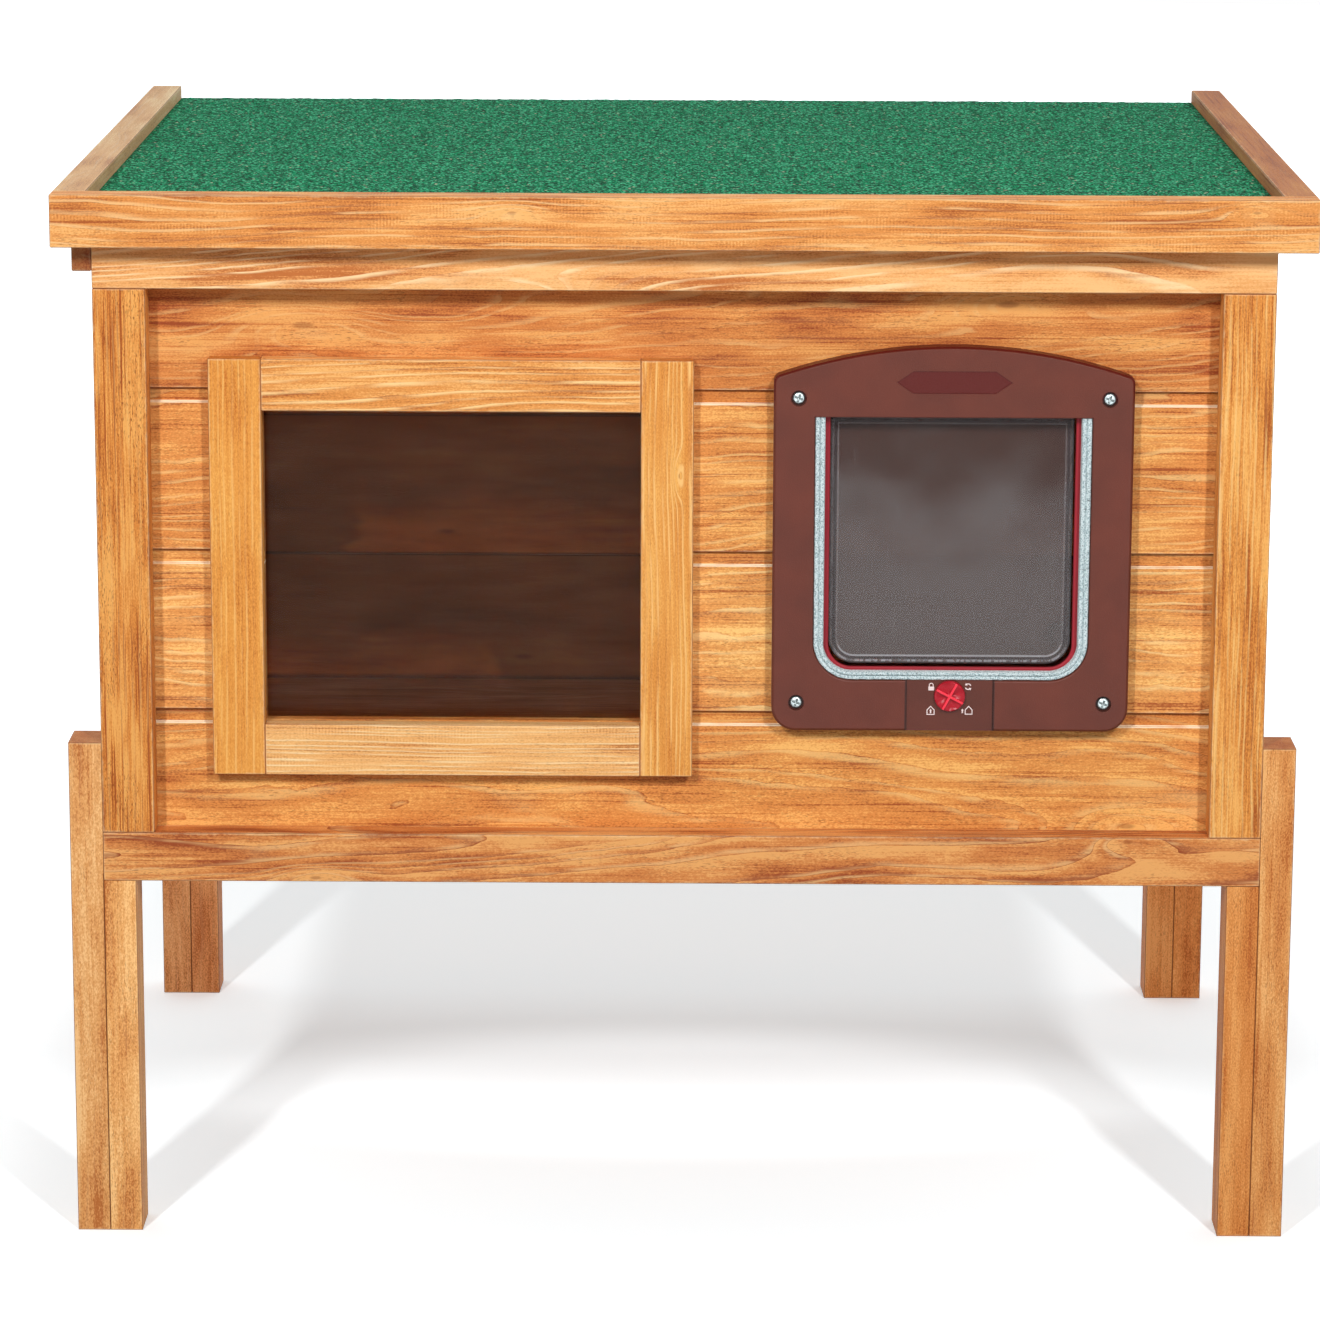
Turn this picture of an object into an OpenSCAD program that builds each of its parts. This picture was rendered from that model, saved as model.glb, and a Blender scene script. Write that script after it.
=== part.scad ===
// Heated cat house on four legs: insulated timber walls, a hinged felted roof,
// a fixed window and a four-way lockable cat flap.
// Millimetres. X runs to the right, Y to the back, Z up.
// The origin is on the ground, under the middle of the roof.

/* [House body] */
// Width of the house body
body_w = 778; // [720:1:900]
// Depth of the house body
body_d = 612; // [540:1:700]
// Height of the house body without its legs and roof
body_h = 437; // [428:1:460]
// Clear height under the house body
leg_clear = 247; // [180:1:320]

/* [Timber] */
// Face width of the square-edged timber
stock_w = 35; // [30:0.5:40]
// Thickness of the square-edged timber
stock_t = 22; // [18:0.5:26]
// Height of the front and back bottom rails
bottom_rail_h = 33.5; // [28:0.5:40]
// Gap between two timbers or boards that meet
joint_gap = 0.2; // [0.1:0.05:0.4]

/* [Wall boards] */
// Height of one wall board
board_h = 109.25; // [106:0.25:112]
// Thickness of the outer wall boards
board_t = 12; // [10:0.5:16]
// Height of the channel along each joint
channel_h = 9; // [5:0.5:11]
// Depth of the channel along each joint
channel_d = 2.75; // [1.5:0.25:3.5]
// Height of the tongue on a board
tongue_h = 5; // [3:0.5:7]
// Thickness of the tongue on a board
tongue_t = 4; // [3:0.25:4.5]
// Clearance of the tongue in its groove
tongue_gap = 0.25; // [0.1:0.05:0.4]
// Thickness of the foam in the walls
foam_t = 15; // [12:0.5:20]
// Thickness of the inner lining boards
lining_t = 8; // [6:0.5:10]

/* [Floor] */
// Thickness of the base board
base_t = 5; // [4:0.5:8]
// Thickness of the heating mat
mat_t = 2; // [1.5:0.25:4]
// Space between the heating mat and the walls
mat_margin = 12; // [5:1:40]
// Thickness of the floor boards
floor_t = 8; // [6:0.5:12]
// Number of floor boards
floor_boards_n = 4; // [3:1:6]

/* [Roof] */
// Thickness of the front fascia
fascia_t = 20; // [16:0.5:24]
// Gap between the fascia and the front of the body
fascia_gap = 0.5; // [0.4:0.1:1.5]
// How far the roof reaches past the back of the body
back_overhang = 26.5; // [24:0.5:30]
// Gap between a side strip and the side of the body
side_gap = 2.5; // [2:0.25:5]
// How far the fascia and strips hang below the roof panel
strip_drop = 5.7; // [4:0.1:8]
// Thickness of the roof panel
panel_t = 18; // [15:0.5:20]
// Thickness of the mineral felt
felt_t = 2.5; // [2:0.25:3.5]
// Gap under the closed roof
roof_seat_gap = 0.3; // [0.2:0.05:0.5]
// Thickness of the foam under the roof panel
roof_foam_t = 15; // [10:0.5:18]
// Thickness of the lining under the roof foam
roof_lining_t = 5; // [3:0.5:6]
// Clearance of the drop-in roof lining inside the walls
drop_in_gap = 4; // [3:0.5:8]

/* [Roof hinges] */
// Distance of a hinge from the side of the body
hinge_inset = 130; // [90:1:180]
// Length of a hinge
hinge_len = 64; // [50:1:80]
// Thickness of the hinge leaves
leaf_t = 1.8; // [1.4:0.1:2.2]
// Length of the leaf on the back wall
leaf_drop = 26; // [20:1:30]
// Reach of the leaf under the roof
leaf_reach = 20; // [16:1:22]
// Outer radius of the hinge knuckles
knuckle_r = 3; // [2.8:0.05:3.2]
// Radius of the hinge pins
hinge_pin_r = 1.5; // [1.2:0.05:1.8]
// Gap between a knuckle and the timber
knuckle_gap = 0.4; // [0.3:0.05:0.8]
// Gap between two knuckles
knuckle_end_gap = 0.4; // [0.2:0.05:0.8]
// Length of the hinge screws in the timber
leaf_screw_len = 14; // [10:0.5:15]
// Radius of the hinge screw heads
leaf_head_r = 3.3; // [2.8:0.1:3.6]
// Thickness of the hinge screw heads
leaf_head_t = 1.2; // [0.8:0.1:1.3]

/* [Legs] */
// Height of the outer leg battens
leg_h = 342.5; // [320:0.5:400]
// Depth of a leg
leg_d = 35; // [30:0.5:40]

/* [Left side batten] */
// Width of the short batten under the left strip
side_batten_w = 13; // [10:0.5:20]
// Height of the short batten under the left strip
side_batten_h = 18; // [12:0.5:24]

/* [Window] */
// Distance of the window frame from the left stile
window_inset = 39.3; // [20:0.1:60]
// Height of the window frame above the bottom rail
window_raise = 38.1; // [10:0.1:60]
// Outer width of the window frame
window_w = 321.6; // [280:0.1:330]
// Outer height of the window frame
window_h = 282.7; // [240:0.1:290]
// Thickness of the window frame
window_t = 12; // [8:0.5:18]
// Thickness of the window pane
pane_t = 2.5; // [2:0.25:4]
// How far the pane reaches past the opening
pane_lap = 18; // [12:0.5:22]
// Width of the beads that hold the pane
bead_w = 8; // [6:0.5:10]
// Gap between the pane and the foam around it
pane_edge_gap = 0.5; // [0.3:0.1:1]

/* [Cat flap frame] */
// Distance of the cat flap frame from the right stile
flap_inset = 55.7; // [30:0.1:80]
// Height of the cat flap frame above the bottom rail
flap_raise = 70.8; // [60:0.1:90]
// Width of the cat flap frame
flap_w = 238.5; // [230:0.1:246]
// Height of the cat flap frame at the middle
flap_h = 260.2; // [256:0.1:266]
// Rise of the curved top edge
flap_rise = 20.5; // [14:0.5:24]
// Radius of the lower corners of the frame
flap_corner_r = 16; // [10:0.5:20]
// Radius of the upper corners of the frame
flap_shoulder_r = 5; // [3:0.5:8]
// Thickness of the outer frame
flap_t = 13; // [12:0.5:16]
// Wall thickness of the outer frame
flap_wall = 3; // [2:0.25:4]
// Bevel along the front edge of the frame
flap_bevel = 1.6; // [0.8:0.1:2.4]
// Width of the opening in the frame
opening_w = 183.6; // [170:0.1:186]
// Height of the opening in the frame
opening_h = 178; // [168:0.5:182]
// Height of the frame below the opening
opening_sill = 34.7; // [33:0.1:36]
// Radius of the lower corners of the opening
opening_r = 26; // [20:0.5:32]
// Thickness of the inner frame
inner_frame_t = 8; // [5:0.5:12]
// Wall thickness of the tunnel
tunnel_t = 2.5; // [2:0.1:3]
// Clearance between the tunnel and the wall around it
tunnel_gap = 1; // [0.5:0.1:1.5]

/* [Cat flap seals] */
// Width of the pile seal along the sides
brush_w = 7; // [6:0.1:8]
// Height of the pile seal along the sill
brush_h = 5.5; // [4.5:0.1:6]
// Thickness of the pile seal
brush_t = 7; // [5:0.5:8]
// Setback of the pile seal behind the frame face
brush_setback = 1; // [0.5:0.1:2]
// Width of the groove between the two rows of pile
pile_groove_w = 0.8; // [0.5:0.1:1.2]
// Depth of the groove between the two rows of pile
pile_groove_d = 1; // [0.5:0.1:2]
// Width of the red lip seal along the sides
lip_w = 9.8; // [8.5:0.1:10]
// Thickness of the red lip seal
lip_t = 3; // [2:0.25:3]
// Height of the red lip seal along the sill
lip_h = 7.4; // [6.5:0.1:7.5]

/* [Cat flap pane] */
// Width of the swinging pane
swing_w = 162; // [150:0.5:163]
// Gap between the pane and the opening at the bottom
swing_bottom_gap = 8; // [7:0.25:9]
// Thickness of the clear sheet
swing_sheet_t = 2; // [1.5:0.1:2.5]
// Thickness of the raised rim on the clear sheet
swing_rim_t = 3; // [2.6:0.1:3.4]
// Width of the raised rim
swing_rim_w = 2.2; // [1.5:0.1:3]
// Distance of the raised rim from the edge
swing_rim_inset = 3; // [2:0.25:6]
// Radius of the lower corners of the pane
swing_corner_r = 17; // [12:0.5:22]
// Depth of the hinge line below the frame's top bar
swing_axis_drop = 1.5; // [1.5:0.1:3]
// Distance of the hinge line behind the frame's front face
swing_axis_y = 19.5; // [19:0.1:20]
// Radius of the rod along the top of the pane
swing_rod_r = 3; // [2.5:0.1:3.5]
// Radius of the pivots at the ends of the rod
pivot_r = 2; // [1.6:0.1:2.2]
// Length of each pivot
pivot_len = 8; // [6:0.5:10]
// Running clearance around a pin or a shaft
run_gap = 0.05; // [0.03:0.01:0.08]
// Radius of the bosses that carry the pivots
pivot_boss_r = 5; // [4:0.25:5.5]
// Reach of the bosses that carry the pivots
pivot_boss_len = 7.8; // [5:0.1:8.5]

/* [Lock dial] */
// Height of the dial's centre above the frame's lower edge
dial_raise = 24; // [22:0.1:24.5]
// Radius of the lock dial
dial_r = 10.4; // [8:0.1:11]
// Thickness of the lock dial
dial_t = 3; // [2:0.25:4]
// Height of the grip ridge on the dial
ridge_h = 1.5; // [1:0.1:2.5]
// Turn of the grip ridge
ridge_turn = 28; // [0:1:45]
// Radius of the dial shaft
shaft_r = 4; // [3:0.25:5]
// Radius of the middle of a lock cam
cam_r = 9.5; // [8:0.25:10]
// Reach of a lock cam's lugs
lug_reach = 21; // [20.5:0.1:21]
// Width of a lock cam's lugs
lug_w = 8; // [6:0.5:9]
// Thickness of a lock cam
cam_t = 2.5; // [2:0.25:3]
// Gap between the pane's rim and a lock cam
cam_gap = 2; // [1.6:0.1:2.4]
// Width of the recessed panel around the dial
dial_panel_w = 58.8; // [50:0.1:70]
// Depth of the recessed panel around the dial
dial_panel_d = 2.5; // [1.5:0.1:3]
// Gap between the dial and the panel
dial_gap = 0.3; // [0.2:0.05:0.5]

/* [Label recess] */
// Width of the bare label recess
label_w = 76.6; // [50:0.1:90]
// Height of the bare label recess
label_h = 15; // [8:0.1:18]
// Taper at each end of the label recess
label_taper = 11; // [5:0.5:14]
// Depth of the label recess
label_d = 0.8; // [0.4:0.1:1.5]
// Height of the label recess above the opening
label_raise = 23.8; // [16:0.1:26]

/* [Screws] */
// Half the spacing of the frame screws across
screw_half_x = 102.8; // [100:0.1:105]
// Height of the lower frame screws above the frame's edge
screw_low = 19.2; // [14:0.1:24]
// Height of the upper frame screws above the frame's edge
screw_high = 225.5; // [218:0.1:226]
// Radius of the frame screw heads
screw_head_r = 4; // [3.2:0.1:4.5]
// Thickness of the frame screw heads
screw_head_t = 2.4; // [1.8:0.1:3]
// Radius of the counterbore around a screw head
counterbore_r = 5.3; // [5:0.1:6]
// Depth of the counterbore around a screw head
counterbore_d = 3; // [2.5:0.1:4]
// Radius of the screw shanks
shank_r = 1.75; // [1.4:0.05:2]
// Length of the timber screws
timber_screw_len = 40; // [32:1:42]
// Distance of the timber screws below the edge above them
leg_screw_edge = 14; // [10:0.5:16]
// Radius of the timber screw heads
timber_head_r = 3.8; // [3:0.1:4.5]
// Thickness of the timber screw heads
timber_head_t = 2.5; // [2:0.1:3]

/* [Cable outlet] */
// Distance of the cable outlet from the middle
outlet_x = 290; // [200:1:310]
// Height of the cable outlet above the floor boards
outlet_raise = 38; // [25:1:80]
// Radius of the hole through the grommet
outlet_r = 4; // [3:0.25:6]
// Radius of the grommet in the wall
grommet_r = 7; // [6.5:0.25:9]
// Radius of the grommet's flanges
grommet_flange_r = 10; // [9.5:0.25:13]
// Thickness of the grommet's flanges
grommet_flange_t = 2; // [1.5:0.25:3]

/* [Hidden] */
$fn = 64;
eps = 0.01;

body_x = body_w / 2;
inner_x = body_x - stock_t;
lining_x = inner_x - board_t - foam_t;
cabin_x = lining_x - lining_t;

roof_d = fascia_t + fascia_gap + body_d + back_overhang;
roof_x = body_x + side_gap + stock_t;
roof_y0 = -roof_d / 2;
roof_y1 = roof_d / 2;
fascia_back = roof_y0 + fascia_t;
y_front = fascia_back + fascia_gap;
y_back = y_front + body_d;
board_y0 = y_front + stock_t;
board_y1 = y_back - stock_t;
foam_y0 = board_y0 + board_t;
foam_y1 = board_y1 - board_t;
lining_y0 = foam_y0 + foam_t;
lining_y1 = foam_y1 - foam_t;
cabin_y0 = lining_y0 + lining_t;
cabin_y1 = lining_y1 - lining_t;

z_body = leg_clear;
z_top = z_body + body_h;
z_base = z_body + base_t;
z_mat = z_base + mat_t;
z_floor = z_mat + floor_t;
z_bottom_rail = z_body + bottom_rail_h;
z_top_rail = z_top - stock_w;
boards_n = 4;

z_panel = z_top + roof_seat_gap;
z_panel_top = z_panel + panel_t;
z_felt_top = z_panel_top + felt_t;
z_strip = z_panel - strip_drop;

hinge_x = body_x - hinge_inset;
hinge_y = y_back + knuckle_gap + knuckle_r;
hinge_z = z_panel - knuckle_gap - knuckle_r;
knuckle_len = (hinge_len - 2 * knuckle_end_gap) / 3;

window_x0 = -body_x + stock_w + window_inset;
window_x1 = window_x0 + window_w;
window_z0 = z_bottom_rail + window_raise;
window_z1 = window_z0 + window_h;
window_open_x0 = window_x0 + stock_w;
window_open_x1 = window_x1 - stock_w;
window_open_z0 = window_z0 + stock_w;
window_open_z1 = window_z1 - stock_w;
pane_x0 = window_open_x0 - pane_lap;
pane_x1 = window_open_x1 + pane_lap;
pane_z0 = window_open_z0 - pane_lap;
pane_z1 = window_open_z1 + pane_lap;

flap_x = body_x - stock_w - flap_inset - flap_w / 2;
flap_z = z_bottom_rail + flap_raise;
flap_y = board_y0 - flap_t;
flap_top_r = (pow(flap_w / 2, 2) + pow(flap_rise, 2)) / (2 * flap_rise);
opening_z0 = opening_sill;
opening_z1 = opening_z0 + opening_h;
screw_points = [for (x = [-1, 1], z = [screw_low, screw_high]) [x * screw_half_x, z]];
tunnel_top = opening_z1 + 4;
swing_y = flap_y + swing_axis_y;
swing_z = opening_z1 - swing_axis_drop;
swing_z0 = opening_z0 + swing_bottom_gap;
front_cam_y = swing_y - swing_rim_t / 2 - cam_gap - cam_t;
rear_cam_y = swing_y + swing_rim_t / 2 + cam_gap;
dial_panel_y = flap_y + dial_panel_d;
cam_room = 2;
cam_box_x = lug_reach + cam_room;
cam_box_y0 = board_y0 + eps;
cam_box_y1 = rear_cam_y + cam_t + 1;
cam_box_z0 = dial_raise - lug_reach - 0.5;
cam_box_wall = 1.2;
lip_y = flap_y + brush_setback + brush_t;

outlet_z = z_floor + outlet_raise;

// [depth, height] of each leg screw on one side
leg_screw_points = [for (y = [y_front + stock_t, y_back - leg_d], z = [z_bottom_rail, leg_h])
    [y + (leg_d - stock_t) / 2, z - leg_screw_edge]];
hinge_screw_x = [hinge_x - hinge_len / 3, hinge_x + hinge_len / 3];
wall_screw_z = hinge_z - 0.6 * leaf_drop;
roof_screw_y = hinge_y + 0.6 * leaf_reach;

wood = [0.80, 0.52, 0.26];
wood_dark = [0.62, 0.38, 0.20];
wood_inner = [0.72, 0.50, 0.32];
foam_white = [0.93, 0.93, 0.90];
felt_green = [0.05, 0.38, 0.24];
frame_brown = [0.46, 0.27, 0.23];
pile_teal = [0.65, 0.79, 0.79];
lip_red = [0.70, 0.20, 0.24];
dial_red = [0.84, 0.10, 0.24];
steel = [0.75, 0.76, 0.78];
clear_grey = [0.80, 0.84, 0.84, 0.45];
mat_black = [0.16, 0.16, 0.17];

// Block between two opposite corners
module block(x0, x1, y0, y1, z0, z1) {
    translate([x0, y0, z0]) cube([x1 - x0, y1 - y0, z1 - z0]);
}

// Copy of a piece on the other side of the middle plane
module both_sides() {
    children();
    mirror([1, 0, 0]) children();
}

// Points along an arc, from one angle to another
function arc(x, y, r, from, to, steps) =
    [for (i = [0 : steps]) let (a = from + (to - from) * i / steps) [x + r * cos(a), y + r * sin(a)]];

// Flat shape in X and Z, given its thickness along Y from y0
module upright(y0, t) {
    translate([0, y0 + t, 0]) rotate([90, 0, 0]) linear_extrude(t) children();
}

// Rod along Y
module rod_y(x, z, r, y0, y1) {
    translate([x, y0, z]) rotate([-90, 0, 0]) cylinder(r = r, h = y1 - y0);
}

// Rod along X
module rod_x(y, z, r, x0, x1) {
    translate([x0, y, z]) rotate([0, 90, 0]) cylinder(r = r, h = x1 - x0);
}

// Rod along Z
module rod_z(x, y, r, z0, z1) {
    translate([x, y, z0]) cylinder(r = r, h = z1 - z0);
}

// Rectangle with a round lower left and right corner and square upper ones
module u_shape(w, z0, z1, r) {
    translate([-w / 2, z0 + r]) square([w, z1 - z0 - r]);
    translate([-w / 2 + r, z0]) square([w - 2 * r, r + eps]);
    for (x = [-1, 1]) translate([x * (w / 2 - r), z0 + r]) circle(r);
}

// Section of a wall board: x is the depth from the outer face, y is the height
function board_section(lo, hi, t, below, above) =
    let (
        c = channel_d + (t - channel_d) / 2,
        half = tongue_t / 2,
        slot = half + tongue_gap
    )
    concat(
        [[0, lo]],
        below ? [[c - slot, lo], [c - slot, lo + tongue_h + tongue_gap],
                 [c + slot, lo + tongue_h + tongue_gap], [c + slot, lo]] : [],
        [[t, lo], [t, hi]],
        above ? [[c + half, hi], [c + half, hi + tongue_h], [c - half, hi + tongue_h], [c - half, hi],
                 [channel_d, hi], [channel_d, hi - channel_h], [0, hi - channel_h]]
              : [[0, hi]]
    );

// Lower edge of wall board i, counted from the bottom
function board_z(i) = i == boards_n ? z_top : z_base + i * board_h;

// One tongued board of a wall that faces -Y, centred on X, with its face at Y = 0
module wall_board(i, len) {
    lo = board_z(i);
    hi = board_z(i + 1) - (i == boards_n - 1 ? 0 : joint_gap);
    translate([-len / 2, 0, 0]) rotate([90, 0, 90]) linear_extrude(len)
        polygon(board_section(lo, hi, board_t, i > 0, i < boards_n - 1));
}

// One plain board of a lining that faces -Y, centred on X, with its face at Y = 0
module lining_board(i, len) {
    hi = board_z(i + 1) - (i == boards_n - 1 ? 0 : joint_gap);
    block(-len / 2, len / 2, 0, lining_t, board_z(i), hi);
}

// Moves a shape from the cat flap's own place to its place in the front wall
module at_flap() {
    translate([flap_x, 0, flap_z]) children();
}

// Holes for the long screws of the cat flap, between two depths
module flap_screw_holes(y0, y1, r) {
    at_flap() for (p = screw_points) rod_y(p[0], p[1], r, y0, y1);
}

// Space that the tunnel and the lock need through the front wall
module flap_cutout(y0, y1) {
    half = opening_w / 2 + tunnel_t + tunnel_gap;
    lock_half = cam_box_x + cam_box_wall + tunnel_gap;
    at_flap() {
        block(-half, half, y0, y1, opening_z0 - tunnel_t - tunnel_gap, tunnel_top + tunnel_t + tunnel_gap);
        block(-lock_half, lock_half, y0, min(y1, cam_box_y1 + cam_box_wall + tunnel_gap),
              cam_box_z0 - cam_box_wall - 0.3, opening_z0);
    }
}

// Space that the window needs through the front wall, with a margin around the opening
module window_cutout(y0, y1, margin) {
    block(window_open_x0 - margin, window_open_x1 + margin, y0, y1,
          window_open_z0 - margin, window_open_z1 + margin);
}

module front_left_stile() {
    color(wood) block(-body_x, -body_x + stock_w, y_front, board_y0, z_bottom_rail, z_top_rail);
}

module front_right_stile() {
    color(wood) block(body_x - stock_w, body_x, y_front, board_y0, z_bottom_rail, z_top_rail);
}

module front_top_rail() {
    color(wood) block(-body_x, body_x, y_front, board_y0, z_top_rail, z_top);
}

module front_bottom_rail() {
    color(wood) block(-body_x, body_x, y_front, board_y0, z_body, z_bottom_rail);
}

module back_frame() {
    color(wood) {
        difference() {
            block(-body_x, body_x, board_y1, y_back, z_top_rail, z_top);
            both_sides() for (x = hinge_screw_x)
                rod_y(x, wall_screw_z, shank_r + run_gap, y_back - leaf_screw_len - 0.5, y_back + 1);
        }
        block(-body_x, body_x, board_y1, y_back, z_body, z_bottom_rail);
        both_sides() block(body_x - stock_w, body_x, board_y1, y_back,
                           z_bottom_rail + joint_gap, z_top_rail - joint_gap);
    }
}

// Side frame on the right; the left one is its mirror image
module side_frame() {
    block(inner_x, body_x, board_y0, board_y1, z_top_rail, z_top);
    block(inner_x, body_x, board_y0, board_y1, z_body, z_bottom_rail);
    for (y = [board_y0, board_y1 - stock_w])
        block(inner_x, body_x, y, y + stock_w, z_bottom_rail + joint_gap, z_top_rail - joint_gap);
}

module left_frame() {
    color(wood) mirror([1, 0, 0]) difference() {
        side_frame();
        leg_screw_holes();
    }
}

module right_frame() {
    color(wood) difference() {
        side_frame();
        leg_screw_holes();
    }
}

// Board of the front wall, counted from the top, with the cuts for the window and the cat flap
module front_plank(from_top) {
    difference() {
        translate([0, board_y0, 0]) wall_board(boards_n - from_top, 2 * inner_x);
        window_cutout(board_y0 - eps, foam_y0 + eps, 0);
        flap_cutout(board_y0 - eps, foam_y0 + eps);
        flap_screw_holes(board_y0 - eps, foam_y0 + eps, shank_r + run_gap);
    }
}

module front_plank_1() { color(wood) front_plank(1); }
module front_plank_2() { color(wood) front_plank(2); }
module front_plank_3() { color(wood) front_plank(3); }
module front_plank_4() { color(wood) front_plank(4); }

module back_planks() {
    color(wood) difference() {
        translate([0, board_y1, 0]) rotate([0, 0, 180])
            for (i = [0 : boards_n - 1]) wall_board(i, 2 * inner_x);
        rod_y(outlet_x, outlet_z, grommet_r, foam_y1 - eps, board_y1 + eps);
    }
}

// Boards of a side wall, turned to face +X for a turn of 90 or -X for -90
module side_planks(turn) {
    len = foam_y1 - foam_y0;
    translate([sign(turn) * inner_x, (foam_y0 + foam_y1) / 2, 0]) rotate([0, 0, turn])
        for (i = [0 : boards_n - 1]) wall_board(i, len);
}

module left_planks() { color(wood) side_planks(-90); }
module right_planks() { color(wood) side_planks(90); }

module wall_insulation() {
    side_x = inner_x - board_t;
    color(foam_white) {
        difference() {
            block(-side_x, side_x, foam_y0, lining_y0, z_base, z_top);
            block(pane_x0 - pane_edge_gap, pane_x1 + pane_edge_gap, foam_y0 - eps, lining_y0 + eps,
                  pane_z0 - pane_edge_gap, pane_z1 + pane_edge_gap);
            flap_cutout(foam_y0 - eps, lining_y0 + eps);
            flap_screw_holes(foam_y0 - eps, lining_y0 + eps, shank_r + run_gap);
        }
        difference() {
            block(-side_x, side_x, lining_y1, foam_y1, z_base, z_top);
            rod_y(outlet_x, outlet_z, grommet_r, lining_y1 - eps, foam_y1 + eps);
        }
        both_sides() block(lining_x, side_x, lining_y0 + joint_gap, lining_y1 - joint_gap, z_base, z_top);
    }
}

module front_lining() {
    color(wood_inner) difference() {
        block(-lining_x, lining_x, lining_y0, cabin_y0, z_base, z_top);
        window_cutout(lining_y0 - eps, cabin_y0 + eps, pane_lap - bead_w + 2);
        flap_cutout(lining_y0 - eps, cabin_y0 + eps);
        flap_screw_holes(lining_y0 - eps, cabin_y0 + eps, shank_r + run_gap);
    }
}

module back_lining() {
    color(wood_inner) difference() {
        translate([0, cabin_y1, 0]) for (i = [0 : boards_n - 1]) lining_board(i, 2 * lining_x);
        rod_y(outlet_x, outlet_z, grommet_r, cabin_y1 - eps, lining_y1 + eps);
    }
}

// Lining of the right wall; the left one is its mirror image
module side_lining() {
    translate([lining_x, (cabin_y0 + cabin_y1) / 2, 0]) rotate([0, 0, 90])
        for (i = [0 : boards_n - 1]) lining_board(i, cabin_y1 - cabin_y0);
}

module left_lining() { color(wood_inner) mirror([1, 0, 0]) side_lining(); }
module right_lining() { color(wood_inner) side_lining(); }

module base_board() {
    color(wood_dark) block(-inner_x, inner_x, board_y0, board_y1, z_body, z_base);
}

module heating_mat() {
    color(mat_black) block(-cabin_x + mat_margin, cabin_x - mat_margin,
                           cabin_y0 + mat_margin, cabin_y1 - mat_margin, z_base, z_mat);
}

module floor_boards() {
    pitch = (cabin_y1 - cabin_y0) / floor_boards_n;
    color(wood_inner) for (i = [0 : floor_boards_n - 1])
        block(-cabin_x, cabin_x, cabin_y0 + i * pitch + joint_gap / 2, cabin_y0 + (i + 1) * pitch - joint_gap / 2,
              z_mat, z_floor);
}

module window_left_stile() {
    color(wood) block(window_x0, window_open_x0, board_y0 - window_t, board_y0, window_z0, window_z1);
}

module window_right_stile() {
    color(wood) block(window_open_x1, window_x1, board_y0 - window_t, board_y0, window_z0, window_z1);
}

module window_top_rail() {
    color(wood) block(window_open_x0, window_open_x1, board_y0 - window_t, board_y0, window_open_z1, window_z1);
}

module window_bottom_rail() {
    color(wood) block(window_open_x0, window_open_x1, board_y0 - window_t, board_y0, window_z0, window_open_z0);
}

module window_pane() {
    color(clear_grey) block(pane_x0, pane_x1, foam_y0, foam_y0 + pane_t, pane_z0, pane_z1);
}

module window_beads() {
    y0 = foam_y0 + pane_t;
    color(wood_inner) {
        for (x = [pane_x0, pane_x1 - bead_w]) block(x, x + bead_w, y0, lining_y0, pane_z0, pane_z1);
        for (z = [pane_z0, pane_z1 - bead_w])
            block(pane_x0 + bead_w + joint_gap, pane_x1 - bead_w - joint_gap, y0, lining_y0, z, z + bead_w);
    }
}

// Outline of the cat flap's frame, drawn in by d; x is across, y is up from the lower edge
function frame_outline(d) =
    let (
        w = flap_w / 2 - d,
        low_r = flap_corner_r - d,
        top_r = flap_top_r - d,
        centre = flap_h - flap_top_r,
        r = flap_shoulder_r,
        sx = w - r,
        sz = centre + sqrt(pow(top_r - r, 2) - pow(sx, 2)),
        a = atan2(sz - centre, sx)
    )
    concat(
        arc(sx, sz, r, 0, a, 6),
        arc(0, centre, top_r, a + 1.2, 178.8 - a, 24),
        arc(-sx, sz, r, 180 - a, 180, 6),
        arc(-w + low_r, d + low_r, low_r, 180, 270, 10),
        arc(w - low_r, d + low_r, low_r, 270, 360, 10)
    );

// Plate with the frame's outline and a bevelled front edge, standing from y0 back to y0 + t
module frame_plate(y0, t) {
    front = frame_outline(flap_bevel);
    back = frame_outline(0);
    n = len(back);
    points = concat(
        [for (p = front) [p[0], y0, p[1]]],
        [for (p = back) [p[0], y0 + flap_bevel, p[1]]],
        [for (p = back) [p[0], y0 + t, p[1]]]
    );
    sides = [for (k = [0, 1], i = [0 : n - 1]) [k * n + i, k * n + (i + 1) % n, (k + 1) * n + (i + 1) % n, (k + 1) * n + i]];
    polyhedron(points, concat([[for (i = [n - 1 : -1 : 0]) i]], sides, [[for (i = [0 : n - 1]) 2 * n + i]]));
}

// Long hexagon of the label recess
module label_shape() {
    half = label_w / 2;
    flat = half - label_taper;
    polygon([[half, 0], [flat, label_h / 2], [-flat, label_h / 2], [-half, 0], [-flat, -label_h / 2], [flat, -label_h / 2]]);
}

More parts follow.
